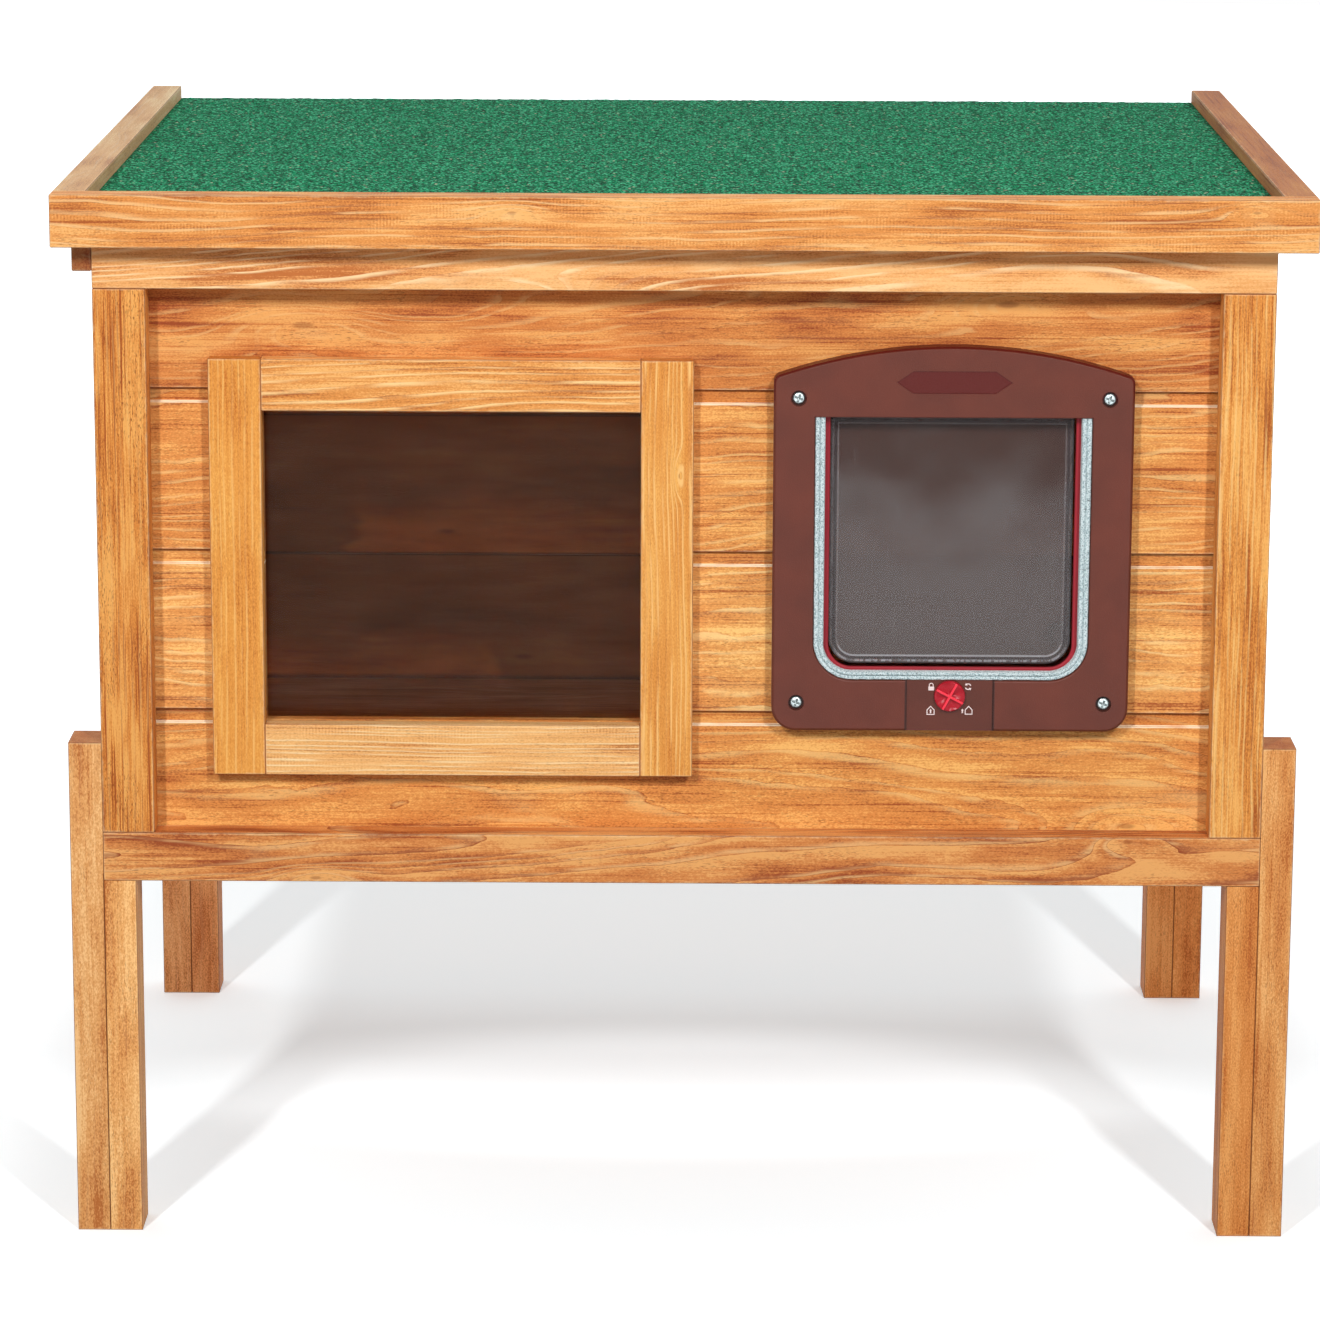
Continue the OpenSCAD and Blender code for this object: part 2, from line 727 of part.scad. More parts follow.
module flap_outer_frame() {
    color(frame_brown) at_flap() difference() {
        frame_plate(flap_y, flap_t);
        // hollow behind the face, with a wall left around the opening and the screws
        difference() {
            upright(flap_y + flap_wall, flap_t) polygon(frame_outline(flap_wall));
            upright(flap_y, 2 * flap_t)
                u_shape(opening_w + 2 * flap_wall, opening_z0 - flap_wall, tunnel_top + flap_wall, opening_r + flap_wall);
            for (p = screw_points) rod_y(p[0], p[1], counterbore_r + flap_wall, flap_y, flap_y + 2 * flap_t);
            block(-dial_panel_w / 2 - flap_wall, dial_panel_w / 2 + flap_wall, flap_y, flap_y + 2 * flap_t, 0, opening_z0);
        }
        upright(flap_y - 1, flap_t + 2) u_shape(opening_w, opening_z0, opening_z1, opening_r);
        for (p = screw_points) {
            rod_y(p[0], p[1], shank_r + run_gap, flap_y - 1, flap_y + flap_t + 1);
            rod_y(p[0], p[1], counterbore_r, flap_y - 1, flap_y + counterbore_d);
        }
        block(-dial_panel_w / 2, dial_panel_w / 2, flap_y - 1, dial_panel_y, -1, opening_z0 + 1);
        rod_y(0, dial_raise, shaft_r + run_gap, flap_y - 1, flap_y + flap_t + 1);
        translate([0, 0, opening_z1 + label_raise]) upright(flap_y - 1, 1 + label_d) label_shape();
    }
}

module flap_tunnel() {
    y0 = board_y0;
    color(frame_brown) at_flap() {
        difference() {
            union() {
                upright(y0, cabin_y0 - y0)
                    u_shape(opening_w + 2 * tunnel_t, opening_z0 - tunnel_t, tunnel_top + tunnel_t, opening_r + tunnel_t);
                block(-cam_box_x - cam_box_wall, cam_box_x + cam_box_wall, y0, cam_box_y1 + cam_box_wall,
                      cam_box_z0 - cam_box_wall, opening_z0);
            }
            upright(y0 - 1, cabin_y0 - y0 + 2) u_shape(opening_w, opening_z0, tunnel_top, opening_r);
            block(-cam_box_x, cam_box_x, y0 - 1, cam_box_y1, cam_box_z0, opening_z0 + 1);
            pivot_bores();
        }
        difference() {
            for (x = [-1, 1]) {
                near = opening_w / 2 - pivot_boss_len;
                far = opening_w / 2 + tunnel_t / 2;
                rod_x(swing_y, swing_z, pivot_boss_r, x > 0 ? near : -far, x > 0 ? far : -near);
            }
            pivot_bores();
        }
    }
}

// Bores that the pane's pivots turn in
module pivot_bores() {
    rod_x(swing_y, swing_z, pivot_r + run_gap, -opening_w / 2 - tunnel_t - 1, opening_w / 2 + tunnel_t + 1);
}

module flap_inner_frame() {
    side_h = flap_h - flap_rise;
    color(frame_brown) at_flap() difference() {
        upright(cabin_y0, inner_frame_t) polygon(concat(
            arc(flap_w / 2 - flap_corner_r, side_h - flap_corner_r, flap_corner_r, 0, 90, 10),
            arc(-flap_w / 2 + flap_corner_r, side_h - flap_corner_r, flap_corner_r, 90, 180, 10),
            arc(-flap_w / 2 + flap_corner_r, flap_corner_r, flap_corner_r, 180, 270, 10),
            arc(flap_w / 2 - flap_corner_r, flap_corner_r, flap_corner_r, 270, 360, 10)
        ));
        upright(cabin_y0 - 1, inner_frame_t + 2) u_shape(opening_w, opening_z0, opening_z1, opening_r);
        for (p = screw_points) rod_y(p[0], p[1], shank_r + run_gap, cabin_y0 - 1, cabin_y0 + inner_frame_t - 2);
    }
}

// Band of a seal along the sides and the sill of the opening
module seal_band(y0, t, w, h) {
    upright(y0, t) difference() {
        u_shape(opening_w, opening_z0, opening_z1, opening_r);
        u_shape(opening_w - 2 * w, opening_z0 + h, opening_z1 + 1, opening_r - w);
    }
}

// Pile seal: a band with a groove between its two rows of pile
module flap_brush_seal() {
    y0 = flap_y + brush_setback;
    color(pile_teal) at_flap() difference() {
        seal_band(y0, brush_t, brush_w, brush_h);
        difference() {
            seal_band(y0 - pile_groove_d, 2 * pile_groove_d,
                      (brush_w + pile_groove_w) / 2, (brush_h + pile_groove_w) / 2);
            seal_band(y0 - 2 * pile_groove_d, 4 * pile_groove_d,
                      (brush_w - pile_groove_w) / 2, (brush_h - pile_groove_w) / 2);
        }
    }
}

module flap_red_lip() {
    color(lip_red) at_flap() seal_band(lip_y, lip_t, lip_w, lip_h);
}

// Screw along +Y with a pan head whose face is at y0 and a cross slot
module pan_screw(x, z, y0, y1) {
    difference() {
        rod_y(x, z, screw_head_r, y0, y0 + screw_head_t);
        for (turn = [0, 90]) translate([x, y0, z]) rotate([0, turn + 20, 0])
            cube([screw_head_r, 2, 0.8], center = true);
    }
    rod_y(x, z, shank_r, y0 + screw_head_t, y1);
}

module flap_screws() {
    head_y = flap_y + counterbore_d - screw_head_t;
    color(steel) at_flap() for (p = screw_points)
        pan_screw(p[0], p[1], head_y, cabin_y0 + inner_frame_t - 2.5);
}

module left_side_batten() {
    top = z_strip - joint_gap;
    color(wood_dark) block(-body_x - side_batten_w, -body_x, y_front, board_y1, top - side_batten_h, top);
}

// Leg on the right: an outer batten beside the body and an inner one under it
module leg(y0) {
    difference() {
        block(body_x, body_x + stock_t, y0, y0 + leg_d, 0, leg_h);
        leg_screw_holes();
    }
    block(inner_x, body_x - joint_gap, y0, y0 + leg_d, 0, z_body);
}

module front_left_leg() { color(wood) mirror([1, 0, 0]) leg(y_front); }
module front_right_leg() { color(wood) leg(y_front); }
module back_left_leg() { color(wood) mirror([1, 0, 0]) leg(y_back - leg_d); }
module back_right_leg() { color(wood) leg(y_back - leg_d); }

// Holes for the leg screws on the right
module leg_screw_holes() {
    tip = body_x + stock_t - timber_screw_len;
    for (p = leg_screw_points) {
        rod_x(p[0], p[1], shank_r + run_gap, tip - 0.5, body_x + stock_t + 1);
        rod_x(p[0], p[1], timber_head_r + run_gap, body_x + stock_t - timber_head_t, body_x + stock_t + 1);
    }
}

module leg_screws() {
    head = body_x + stock_t;
    color(steel) both_sides() for (p = leg_screw_points) {
        difference() {
            rod_x(p[0], p[1], timber_head_r, head - timber_head_t, head);
            for (turn = [0, 90]) translate([head, p[0], p[1]]) rotate([turn + 30, 0, 0])
                cube([2, timber_head_r, 0.8], center = true);
        }
        rod_x(p[0], p[1], shank_r, head - timber_screw_len, head - timber_head_t);
    }
}

module cable_grommet() {
    color(mat_black) difference() {
        union() {
            rod_y(outlet_x, outlet_z, grommet_r, cabin_y1 - grommet_flange_t, board_y1 + grommet_flange_t);
            rod_y(outlet_x, outlet_z, grommet_flange_r, cabin_y1 - grommet_flange_t, cabin_y1);
            rod_y(outlet_x, outlet_z, grommet_flange_r, board_y1, board_y1 + grommet_flange_t);
        }
        rod_y(outlet_x, outlet_z, outlet_r, cabin_y1 - 10, board_y1 + 10);
    }
}

// Left end of knuckle k of the right hinge, 0 to 2
function knuckle_x(k) = hinge_x - hinge_len / 2 + k * (knuckle_len + knuckle_end_gap);

module hinge_wall_leaves() {
    color(steel) both_sides() difference() {
        union() {
            block(hinge_x - hinge_len / 2, hinge_x + hinge_len / 2, y_back, y_back + leaf_t,
                  hinge_z - leaf_drop, hinge_z - knuckle_r - knuckle_end_gap);
            for (k = [0, 2]) {
                rod_x(hinge_y, hinge_z, knuckle_r, knuckle_x(k), knuckle_x(k) + knuckle_len);
                block(knuckle_x(k), knuckle_x(k) + knuckle_len, y_back, y_back + leaf_t, hinge_z - leaf_drop, hinge_z);
            }
        }
        rod_x(hinge_y, hinge_z, hinge_pin_r + run_gap, hinge_x - hinge_len, hinge_x + hinge_len);
        for (x = hinge_screw_x) {
            rod_y(x, wall_screw_z, shank_r + run_gap, y_back - 1, y_back + leaf_t + 1);
            rod_y(x, wall_screw_z, leaf_head_r + run_gap, y_back + leaf_t - leaf_head_t, y_back + leaf_t + 1);
        }
    }
}

module hinge_pins() {
    color(steel) both_sides()
        rod_x(hinge_y, hinge_z, hinge_pin_r, hinge_x - hinge_len / 2 - 0.5, hinge_x + hinge_len / 2 + 0.5);
}

module hinge_wall_screws() {
    color(steel) both_sides() for (x = hinge_screw_x) {
        rod_y(x, wall_screw_z, leaf_head_r, y_back + leaf_t - leaf_head_t, y_back + leaf_t);
        rod_y(x, wall_screw_z, shank_r, y_back - leaf_screw_len, y_back + leaf_t - leaf_head_t);
    }
}

module roof_panel() {
    half = roof_x - stock_t;
    color(wood_dark) difference() {
        block(-half, half, fascia_back, roof_y1, z_panel, z_panel_top);
        both_sides() for (x = hinge_screw_x)
            rod_z(x, roof_screw_y, shank_r + run_gap, z_panel - 1, z_panel + leaf_screw_len + 0.5);
    }
}

module roof_felt() {
    half = roof_x - stock_t;
    color(felt_green) block(-half, half, fascia_back, roof_y1, z_panel_top, z_felt_top);
}

module roof_front_fascia() {
    color(wood) block(-roof_x, roof_x, roof_y0, fascia_back, z_strip, z_strip + stock_w);
}

module roof_left_strip() {
    color(wood) block(-roof_x, -roof_x + stock_t, fascia_back, roof_y1, z_strip, z_strip + stock_w);
}

module roof_right_strip() {
    color(wood) block(roof_x - stock_t, roof_x, fascia_back, roof_y1, z_strip, z_strip + stock_w);
}

// Slab that drops in between the wall linings
module drop_in(z0, z1) {
    block(-cabin_x + drop_in_gap, cabin_x - drop_in_gap, cabin_y0 + drop_in_gap, cabin_y1 - drop_in_gap, z0, z1);
}

module roof_insulation() {
    color(foam_white) drop_in(z_panel - roof_foam_t, z_panel);
}

module roof_lining() {
    color(wood_inner) drop_in(z_panel - roof_foam_t - roof_lining_t, z_panel - roof_foam_t);
}

module hinge_roof_leaves() {
    near = hinge_y + knuckle_r + knuckle_end_gap;
    color(steel) both_sides() difference() {
        union() {
            block(hinge_x - hinge_len / 2, hinge_x + hinge_len / 2, near, hinge_y + leaf_reach, z_panel - leaf_t, z_panel);
            rod_x(hinge_y, hinge_z, knuckle_r, knuckle_x(1), knuckle_x(1) + knuckle_len);
            block(knuckle_x(1), knuckle_x(1) + knuckle_len, hinge_y, near + 1, z_panel - leaf_t, z_panel);
        }
        rod_x(hinge_y, hinge_z, hinge_pin_r + run_gap, hinge_x - hinge_len, hinge_x + hinge_len);
        for (x = hinge_screw_x) {
            rod_z(x, roof_screw_y, shank_r + run_gap, z_panel - leaf_t - 1, z_panel + 1);
            rod_z(x, roof_screw_y, leaf_head_r + run_gap, z_panel - leaf_t - 1, z_panel - leaf_t + leaf_head_t);
        }
    }
}

module hinge_roof_screws() {
    color(steel) both_sides() for (x = hinge_screw_x) {
        rod_z(x, roof_screw_y, leaf_head_r, z_panel - leaf_t, z_panel - leaf_t + leaf_head_t);
        rod_z(x, roof_screw_y, shank_r, z_panel - leaf_t + leaf_head_t, z_panel + leaf_screw_len);
    }
}

module flap_pane() {
    sheet_y = swing_y - swing_sheet_t / 2;
    rim_y = swing_y - swing_rim_t / 2;
    rim_w = swing_w - 2 * swing_rim_inset;
    rim_z0 = swing_z0 + swing_rim_inset;
    rim_r = swing_corner_r - swing_rim_inset;
    color(clear_grey) at_flap() {
        upright(sheet_y, swing_sheet_t) u_shape(swing_w, swing_z0, swing_z, swing_corner_r);
        upright(rim_y, swing_rim_t) difference() {
            u_shape(rim_w, rim_z0, swing_z, rim_r);
            u_shape(rim_w - 2 * swing_rim_w, rim_z0 + swing_rim_w, swing_z - swing_rod_r - swing_rim_w, rim_r - swing_rim_w);
        }
        rod_x(swing_y, swing_z, swing_rod_r, -swing_w / 2, swing_w / 2);
        rod_x(swing_y, swing_z, pivot_r, -swing_w / 2 - pivot_len, swing_w / 2 + pivot_len);
    }
}

module lock_dial() {
    face = dial_panel_y - dial_gap - dial_t;
    color(dial_red) at_flap() {
        rod_y(0, dial_raise, dial_r, face, face + dial_t);
        for (turn = [0, 90]) translate([0, face - ridge_h / 2 + eps, dial_raise]) rotate([0, turn + ridge_turn, 0])
            cube([2 * dial_r - 1, ridge_h, 1.4], center = true);
        rod_y(0, dial_raise, shaft_r, face + dial_t - eps, cam_box_y1 - 0.3);
    }
}

// Cam on the dial's shaft with two lugs; each turn is counted clockwise from straight up
module lock_cam(y0, turns) {
    difference() {
        union() {
            rod_y(0, dial_raise, cam_r, y0, y0 + cam_t);
            for (turn = turns) translate([0, 0, dial_raise]) rotate([0, turn, 0])
                block(-lug_w / 2, lug_w / 2, y0, y0 + cam_t, 0, lug_reach);
        }
        rod_y(0, dial_raise, shaft_r + run_gap, y0 - 1, y0 + cam_t + 1);
    }
}

module lock_cams() {
    color(dial_red) at_flap() {
        lock_cam(front_cam_y, [90, 180]);
        lock_cam(rear_cam_y, [90, 270]);
    }
}

front_left_stile();
front_right_stile();
front_top_rail();
front_bottom_rail();
back_frame();
left_frame();
right_frame();
front_plank_1();
front_plank_2();
front_plank_3();
front_plank_4();
back_planks();
left_planks();
right_planks();
wall_insulation();
front_lining();
back_lining();
left_lining();
right_lining();
base_board();
heating_mat();
floor_boards();
window_left_stile();
window_right_stile();
window_top_rail();
window_bottom_rail();
window_pane();
window_beads();
flap_outer_frame();
flap_tunnel();
flap_inner_frame();
flap_brush_seal();
flap_red_lip();
flap_screws();
left_side_batten();
front_left_leg();
front_right_leg();
back_left_leg();
back_right_leg();
leg_screws();
cable_grommet();
hinge_wall_leaves();
hinge_pins();
hinge_wall_screws();
roof_panel();
roof_felt();
roof_front_fascia();
roof_left_strip();
roof_right_strip();
roof_insulation();
roof_lining();
hinge_roof_leaves();
hinge_roof_screws();
flap_pane();
lock_dial();
lock_cams();
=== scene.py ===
# %% [markdown]
# A heated cat house stands on four legs: stained pine boards in a square-edged frame, a window,
# a cat flap in brown plastic and a lid covered with green mineral felt. Its construction comes in
# ready made, one object for each piece, so this lesson is about finish. It shows how to give wood,
# felt, plastic and glass a surface that holds up close to, and how to shape the few soft or moulded
# pieces that plain solids can't show.

# %% Load the house
import math

import bmesh
import bpy
import numpy as np
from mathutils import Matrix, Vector


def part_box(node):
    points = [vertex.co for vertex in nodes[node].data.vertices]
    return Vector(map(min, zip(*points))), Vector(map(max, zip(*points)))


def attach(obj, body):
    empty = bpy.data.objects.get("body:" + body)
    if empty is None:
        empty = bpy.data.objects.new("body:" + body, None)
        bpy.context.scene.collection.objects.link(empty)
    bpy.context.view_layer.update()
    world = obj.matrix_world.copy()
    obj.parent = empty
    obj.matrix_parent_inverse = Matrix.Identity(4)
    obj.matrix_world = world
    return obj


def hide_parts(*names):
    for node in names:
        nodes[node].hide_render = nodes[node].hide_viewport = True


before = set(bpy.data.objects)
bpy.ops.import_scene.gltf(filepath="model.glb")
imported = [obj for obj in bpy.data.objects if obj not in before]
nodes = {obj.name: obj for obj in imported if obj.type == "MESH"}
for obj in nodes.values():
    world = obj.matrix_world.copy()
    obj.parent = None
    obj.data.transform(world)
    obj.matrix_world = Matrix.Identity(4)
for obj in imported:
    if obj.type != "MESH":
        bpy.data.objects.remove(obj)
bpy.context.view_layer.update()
MM = 0.001
print("pieces that came in:", len(nodes))

# %% [markdown]
# The picture was taken with a long lens from well in front and a little above. A long lens keeps
# upright edges nearly upright. The view is set first, because every later choice of detail depends
# on how large a millimetre is in the picture.

# %% Camera
camera_data = bpy.data.cameras.new("camera")
camera_data.lens = 139.09
camera_data.sensor_width = 36
camera = bpy.data.objects.new("camera", camera_data)
camera.location = (0.00445, -3.6271, 1.14005)
camera.rotation_euler = [math.radians(angle) for angle in (77.4473, -0.2225, 0.3823)]
bpy.context.scene.collection.objects.link(camera)
bpy.context.scene.camera = camera
bpy.context.scene.view_settings.view_transform = "Standard"

# %% [markdown]
# Every material below is a tree of nodes. Written out in full, each node takes four or five lines,
# so a small class keeps the calls short. Its methods add nodes, wire what they are given and return
# the output, so that a pattern reads like a sum.

# %% Short calls for shader nodes
def chain(operation):
    """Method that works on the first two values, then on the result and the next, and so on."""
    def chained(self, total, *others):
        for value in others:
            total = self.math(operation, total, value)
        return total
    return chained


class Wiring:
    """Adds nodes to one node tree and wires them; numbers and outputs may be mixed freely."""

    plus, minus, times, over = chain("ADD"), chain("SUBTRACT"), chain("MULTIPLY"), chain("DIVIDE")
    most, least = chain("MAXIMUM"), chain("MINIMUM")
    above, below = chain("GREATER_THAN"), chain("LESS_THAN")

    def __init__(self, tree):
        self.nodes, self.links = tree.nodes, tree.links

    def add(self, kind, **settings):
        node = self.nodes.new(kind)
        for name, value in settings.items():
            setattr(node, name, value)
        return node

    def feed(self, socket, value):
        if isinstance(value, bpy.types.NodeSocket):
            self.links.new(value, socket)
        else:
            socket.default_value = value

    def math(self, operation, *values):
        node = self.add("ShaderNodeMath", operation=operation)
        for socket, value in zip(node.inputs, values):
            self.feed(socket, value)
        return node.outputs[0]

    def size(self, value):
        return self.math("ABSOLUTE", value)

    def around(self, noise, size):
        """Noise around one half, moved to run around zero and scaled to a size."""
        return self.times(self.minus(noise, 0.5), size)

    def vector(self, operation, *values):
        node = self.add("ShaderNodeVectorMath", operation=operation)
        sockets = [node.inputs[0], node.inputs["Scale"]] if operation == "SCALE" else node.inputs
        for socket, value in zip(sockets, values):
            self.feed(socket, value)
        return node.outputs["Value" if operation == "LENGTH" else "Vector"]

    def scaled(self, vector, number):
        return self.vector("SCALE", vector, number)

    def shade(self, colour, shares):
        """Multiplies each channel of a colour by its own share."""
        return self.vector("MULTIPLY", colour, shares)

    def tinted(self, colour, mask, shares):
        """Lets only a share of each channel stand where a mask is one."""
        return self.blend(mask, colour, self.shade(colour, shares))

    def split(self, vector):
        node = self.add("ShaderNodeSeparateXYZ")
        self.feed(node.inputs[0], vector)
        return list(node.outputs)

    def join(self, x, y, z):
        node = self.add("ShaderNodeCombineXYZ")
        for socket, value in zip(node.inputs, (x, y, z)):
            self.feed(socket, value)
        return node.outputs[0]

    def noise(self, place, detail=2.0, roughness=0.5, colour=False):
        node = self.add("ShaderNodeTexNoise")
        self.feed(node.inputs["Vector"], place)
        node.inputs["Scale"].default_value = 1
        node.inputs["Detail"].default_value = detail
        node.inputs["Roughness"].default_value = roughness
        return node.outputs["Color" if colour else "Fac"]

    def cloud(self, place, size, **look):
        """Noise whose blobs have a size of their own along each axis."""
        return self.noise(self.vector("DIVIDE", place, size), **look)

    def cells(self, place, size):
        """Cell pattern: a colour for each cell, and the distance from its middle."""
        node = self.add("ShaderNodeTexVoronoi")
        self.feed(node.inputs["Vector"], place)
        node.inputs["Scale"].default_value = 1 / size
        return node.outputs

    def rise(self, value, start, end, low=0.0, high=1.0):
        node = self.add("ShaderNodeMapRange", interpolation_type="SMOOTHSTEP")
        for socket, number in zip(node.inputs, (value, start, end, low, high)):
            self.feed(socket, number)
        return node.outputs[0]

    def blend(self, amount, first, second):
        node = self.add("ShaderNodeMix", data_type="RGBA")
        self.feed(node.inputs[0], amount)
        self.feed(node.inputs[6], first)
        self.feed(node.inputs[7], second)
        return node.outputs[2]

    def group(self, tree, **values):
        node = self.add("ShaderNodeGroup", node_tree=tree)
        for name, value in values.items():
            self.feed(node.inputs[name.replace("_", " ")], value)
        return node.outputs


def new_group(name, inputs, outputs):
    """New node group; inputs map a name to its default value, outputs map a name to its kind."""
    tree = bpy.data.node_groups.new(name, "ShaderNodeTree")
    for label, value in inputs.items():
        kind = {1: "NodeSocketFloat", 3: "NodeSocketVector", 4: "NodeSocketColor"}[np.size(value)]
        tree.interface.new_socket(label, in_out="INPUT", socket_type=kind).default_value = value
    for label, kind in outputs.items():
        tree.interface.new_socket(label, in_out="OUTPUT", socket_type="NodeSocket" + kind)
    w = Wiring(tree)
    return tree, w, w.add("NodeGroupInput").outputs, w.add("NodeGroupOutput").inputs


def srgb(red, green, blue):
    """Colour from 0 to 255 as seen on a screen, turned into the linear values that shaders use."""
    c = np.array([red, green, blue]) / 255
    c = np.where(c <= 0.04045, c / 12.92, ((c + 0.055) / 1.055) ** 2.4)
    return (*c.tolist(), 1.0)


def new_material(name, **values):
    """New material with its wiring and its Principled shader; values go on the shader's own sockets."""
    material = bpy.data.materials.new(name)
    material.use_nodes = True
    w = Wiring(material.node_tree)
    shader = w.nodes["Principled BSDF"]
    for label, value in {"IOR": 1.5, **values}.items():
        shader.inputs[label.replace("_", " ")].default_value = value
    return material, w, shader


def object_mm(w):
    """Object coordinates of the surface in millimetres."""
    coords = w.add("ShaderNodeTexCoord").outputs["Object"]
    return w.scaled(coords, 1 / MM)


def finish(w, shader, colour, roughness=None, height=None):
    """Feeds colour, roughness and, through a Bump node, a height in millimetres to the shader."""
    w.feed(shader.inputs["Base Color"], colour)
    if roughness is not None:
        w.feed(shader.inputs["Roughness"], roughness)
    if height is not None:
        bump = w.add("ShaderNodeBump")
        bump.inputs["Strength"].default_value = 1
        bump.inputs["Distance"].default_value = MM
        w.feed(bump.inputs["Height"], height)
        w.feed(shader.inputs["Normal"], bump.outputs["Normal"])


def seen_directly(w):
    """One for rays from the camera, off a shiny surface or through glass, nought for all others."""
    ray = w.add("ShaderNodeLightPath").outputs
    return w.most(ray["Is Camera Ray"], ray["Is Glossy Ray"], ray["Is Transmission Ray"])


# %% [markdown]
# A studio picture of furniture has a white floor that runs into a white wall. The floor here is
# one large disc. Two soft boxes stand in front, a little to each side and thirty degrees up, which
# gives the short shadows under the fascia and the long ones behind the legs. A white sky lights
# the rest, brighter at the back, so that the house also shows well from there. The camera sees the
# floor brighter than it lights the house, and pure white some way off, so that the background is
# white and the object isn't washed out. Two smaller lifts, where the body's shadow ends and beside
# the legs, are painted light that evens out the grey of those shadows, as a retoucher would.

# %% Stage and lights
FLOOR_RADIUS = 9.0
LIT_RADIUS, WHITE_RADIUS = 0.75, 1.9
SKY_FRONT, SKY_BACK, SKY_TURN = 0.12, 1.0, (-0.15, 0.5)
FLOOR_LIFT = 0.31
# The pool and side lifts are painted light on the floor's shadows.
POOL_LIFT, POOL_MIDDLE, POOL_SHAPE, POOL_REACH = 0.28, (0, 20, 0), (1, 0.45, 1), (430, 200)
SIDE_LIFT, SIDE_REACH = 0.12, (430, 520)
FLOOR_LIT, FLOOR_SEEN = (0.4, 0.4, 0.4, 1), (0.93, 0.98, 1, 1)
SOFT_SIDE = 20
SOFT_BOX = dict(distance=4.0, height=30, width=0.17, tall=0.7, power=69)
TOP_BOX = dict(distance=3.2, side=0, height=90, width=1.8, tall=1.8, power=3)
LIGHTS_AIM = Vector((0, 0, 0.4))


def soft_box(name, distance, side, height, width, tall, power):
    """Area light on a sphere around the house: side and height are its angles from the front."""
    data = bpy.data.lights.new(name, "AREA")
    data.shape = "RECTANGLE"
    data.size, data.size_y, data.energy = width, tall, power
    light = bpy.data.objects.new(name, data)
    a, e = math.radians(side), math.radians(height)
    away = Vector((math.sin(a) * math.cos(e), -math.cos(a) * math.cos(e), math.sin(e)))
    light.location = LIGHTS_AIM + distance * away
    light.rotation_euler = away.to_track_quat("Z", "Y").to_euler()
    bpy.context.scene.collection.objects.link(light)


soft_box("left_box", side=-SOFT_SIDE, **SOFT_BOX)
soft_box("right_box", side=SOFT_SIDE, **SOFT_BOX)
soft_box("top_box", **TOP_BOX)

world = bpy.data.worlds.new("studio")
world.use_nodes = True
bpy.context.scene.world = world
w = Wiring(world.node_tree)
background = w.nodes["Background"]
background.inputs["Color"].default_value = (1, 1, 1, 1)
towards_back = w.split(w.add("ShaderNodeTexCoord").outputs["Generated"])[1]
sky = w.rise(towards_back, *SKY_TURN, SKY_FRONT, SKY_BACK)
w.feed(background.inputs["Strength"], w.most(seen_directly(w), sky))

# %% [markdown]
# New shapes are grids of points worked out in one go with numpy. Small helpers list the quads of a
# grid, close a tube and swing a profile around an axis. One more builds the mesh, joins points that
# fall on each other and smooths it, and one lets the finished piece ride on its body and hides the solid
# that it replaces.

# %% From grids of points to pieces
def grid_faces(rows, columns, wrap=True):
    """Quads between neighbouring rows and columns; wrap joins the last column to the first."""
    row = np.arange(rows - 1)[:, None]
    column = np.arange(columns if wrap else columns - 1)[None]
    here = row * columns + column
    beside = row * columns + (column + 1) % columns
    return np.stack([here, beside, beside + columns, here + columns], axis=-1).reshape(-1, 4)


def tube(points):
    """Points and faces of a closed tube, from rows of points that each run around it."""
    rows, columns = points.shape[:2]
    ends = [list(range(columns)), list(range((rows - 1) * columns, rows * columns))[::-1]]
    return points.reshape(-1, 3), grid_faces(rows, columns).tolist() + ends


def swung(profile, steps):
    """
    Profile of radius and depth, swung around an axis.

    Gives the radius times the cosine and times the sine of each angle, and the depth.
    """
    profile = np.array(profile, dtype=float)
    turn = np.linspace(0, 2 * np.pi, steps, endpoint=False)
    radius, depth = profile[:, :1], np.repeat(profile[:, 1:], steps, axis=1)
    return radius * np.cos(turn), radius * np.sin(turn), depth


def new_object(name, points, faces, material, sharp=40):
    """Mesh object from points in millimetres and a list of faces, smooth but for sharp edges."""
    mesh = bpy.data.meshes.new(name)
    mesh.from_pydata((np.asarray(points) * MM).tolist(), [], [list(map(int, f)) for f in faces])
    bm = bmesh.new()
    bm.from_mesh(mesh)
    bmesh.ops.remove_doubles(bm, verts=bm.verts, dist=1e-7)
    bmesh.ops.recalc_face_normals(bm, faces=bm.faces)
    bm.to_mesh(mesh)
    bm.free()
    mesh.shade_smooth()
    mesh.set_sharp_from_angle(angle=math.radians(sharp))
    mesh.materials.append(material)
    obj = bpy.data.objects.new(name, mesh)
    bpy.context.scene.collection.objects.link(obj)
    even = obj.modifiers.new("even_shading", "WEIGHTED_NORMAL")
    even.keep_sharp = True
    return obj


def hand_over(obj, body, slot, *replaced):
    """Lets a new piece ride on a body and hides the solid that it stands for; slot is not used."""
    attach(obj, body)
    if replaced:
        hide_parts(*replaced)
    print(obj.name, "faces:", len(obj.data.polygons))


def box_mm(node):
    """Lowest and highest corner of a piece that came in, in millimetres."""
    lo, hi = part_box(node)
    return np.array(lo) / MM, np.array(hi) / MM


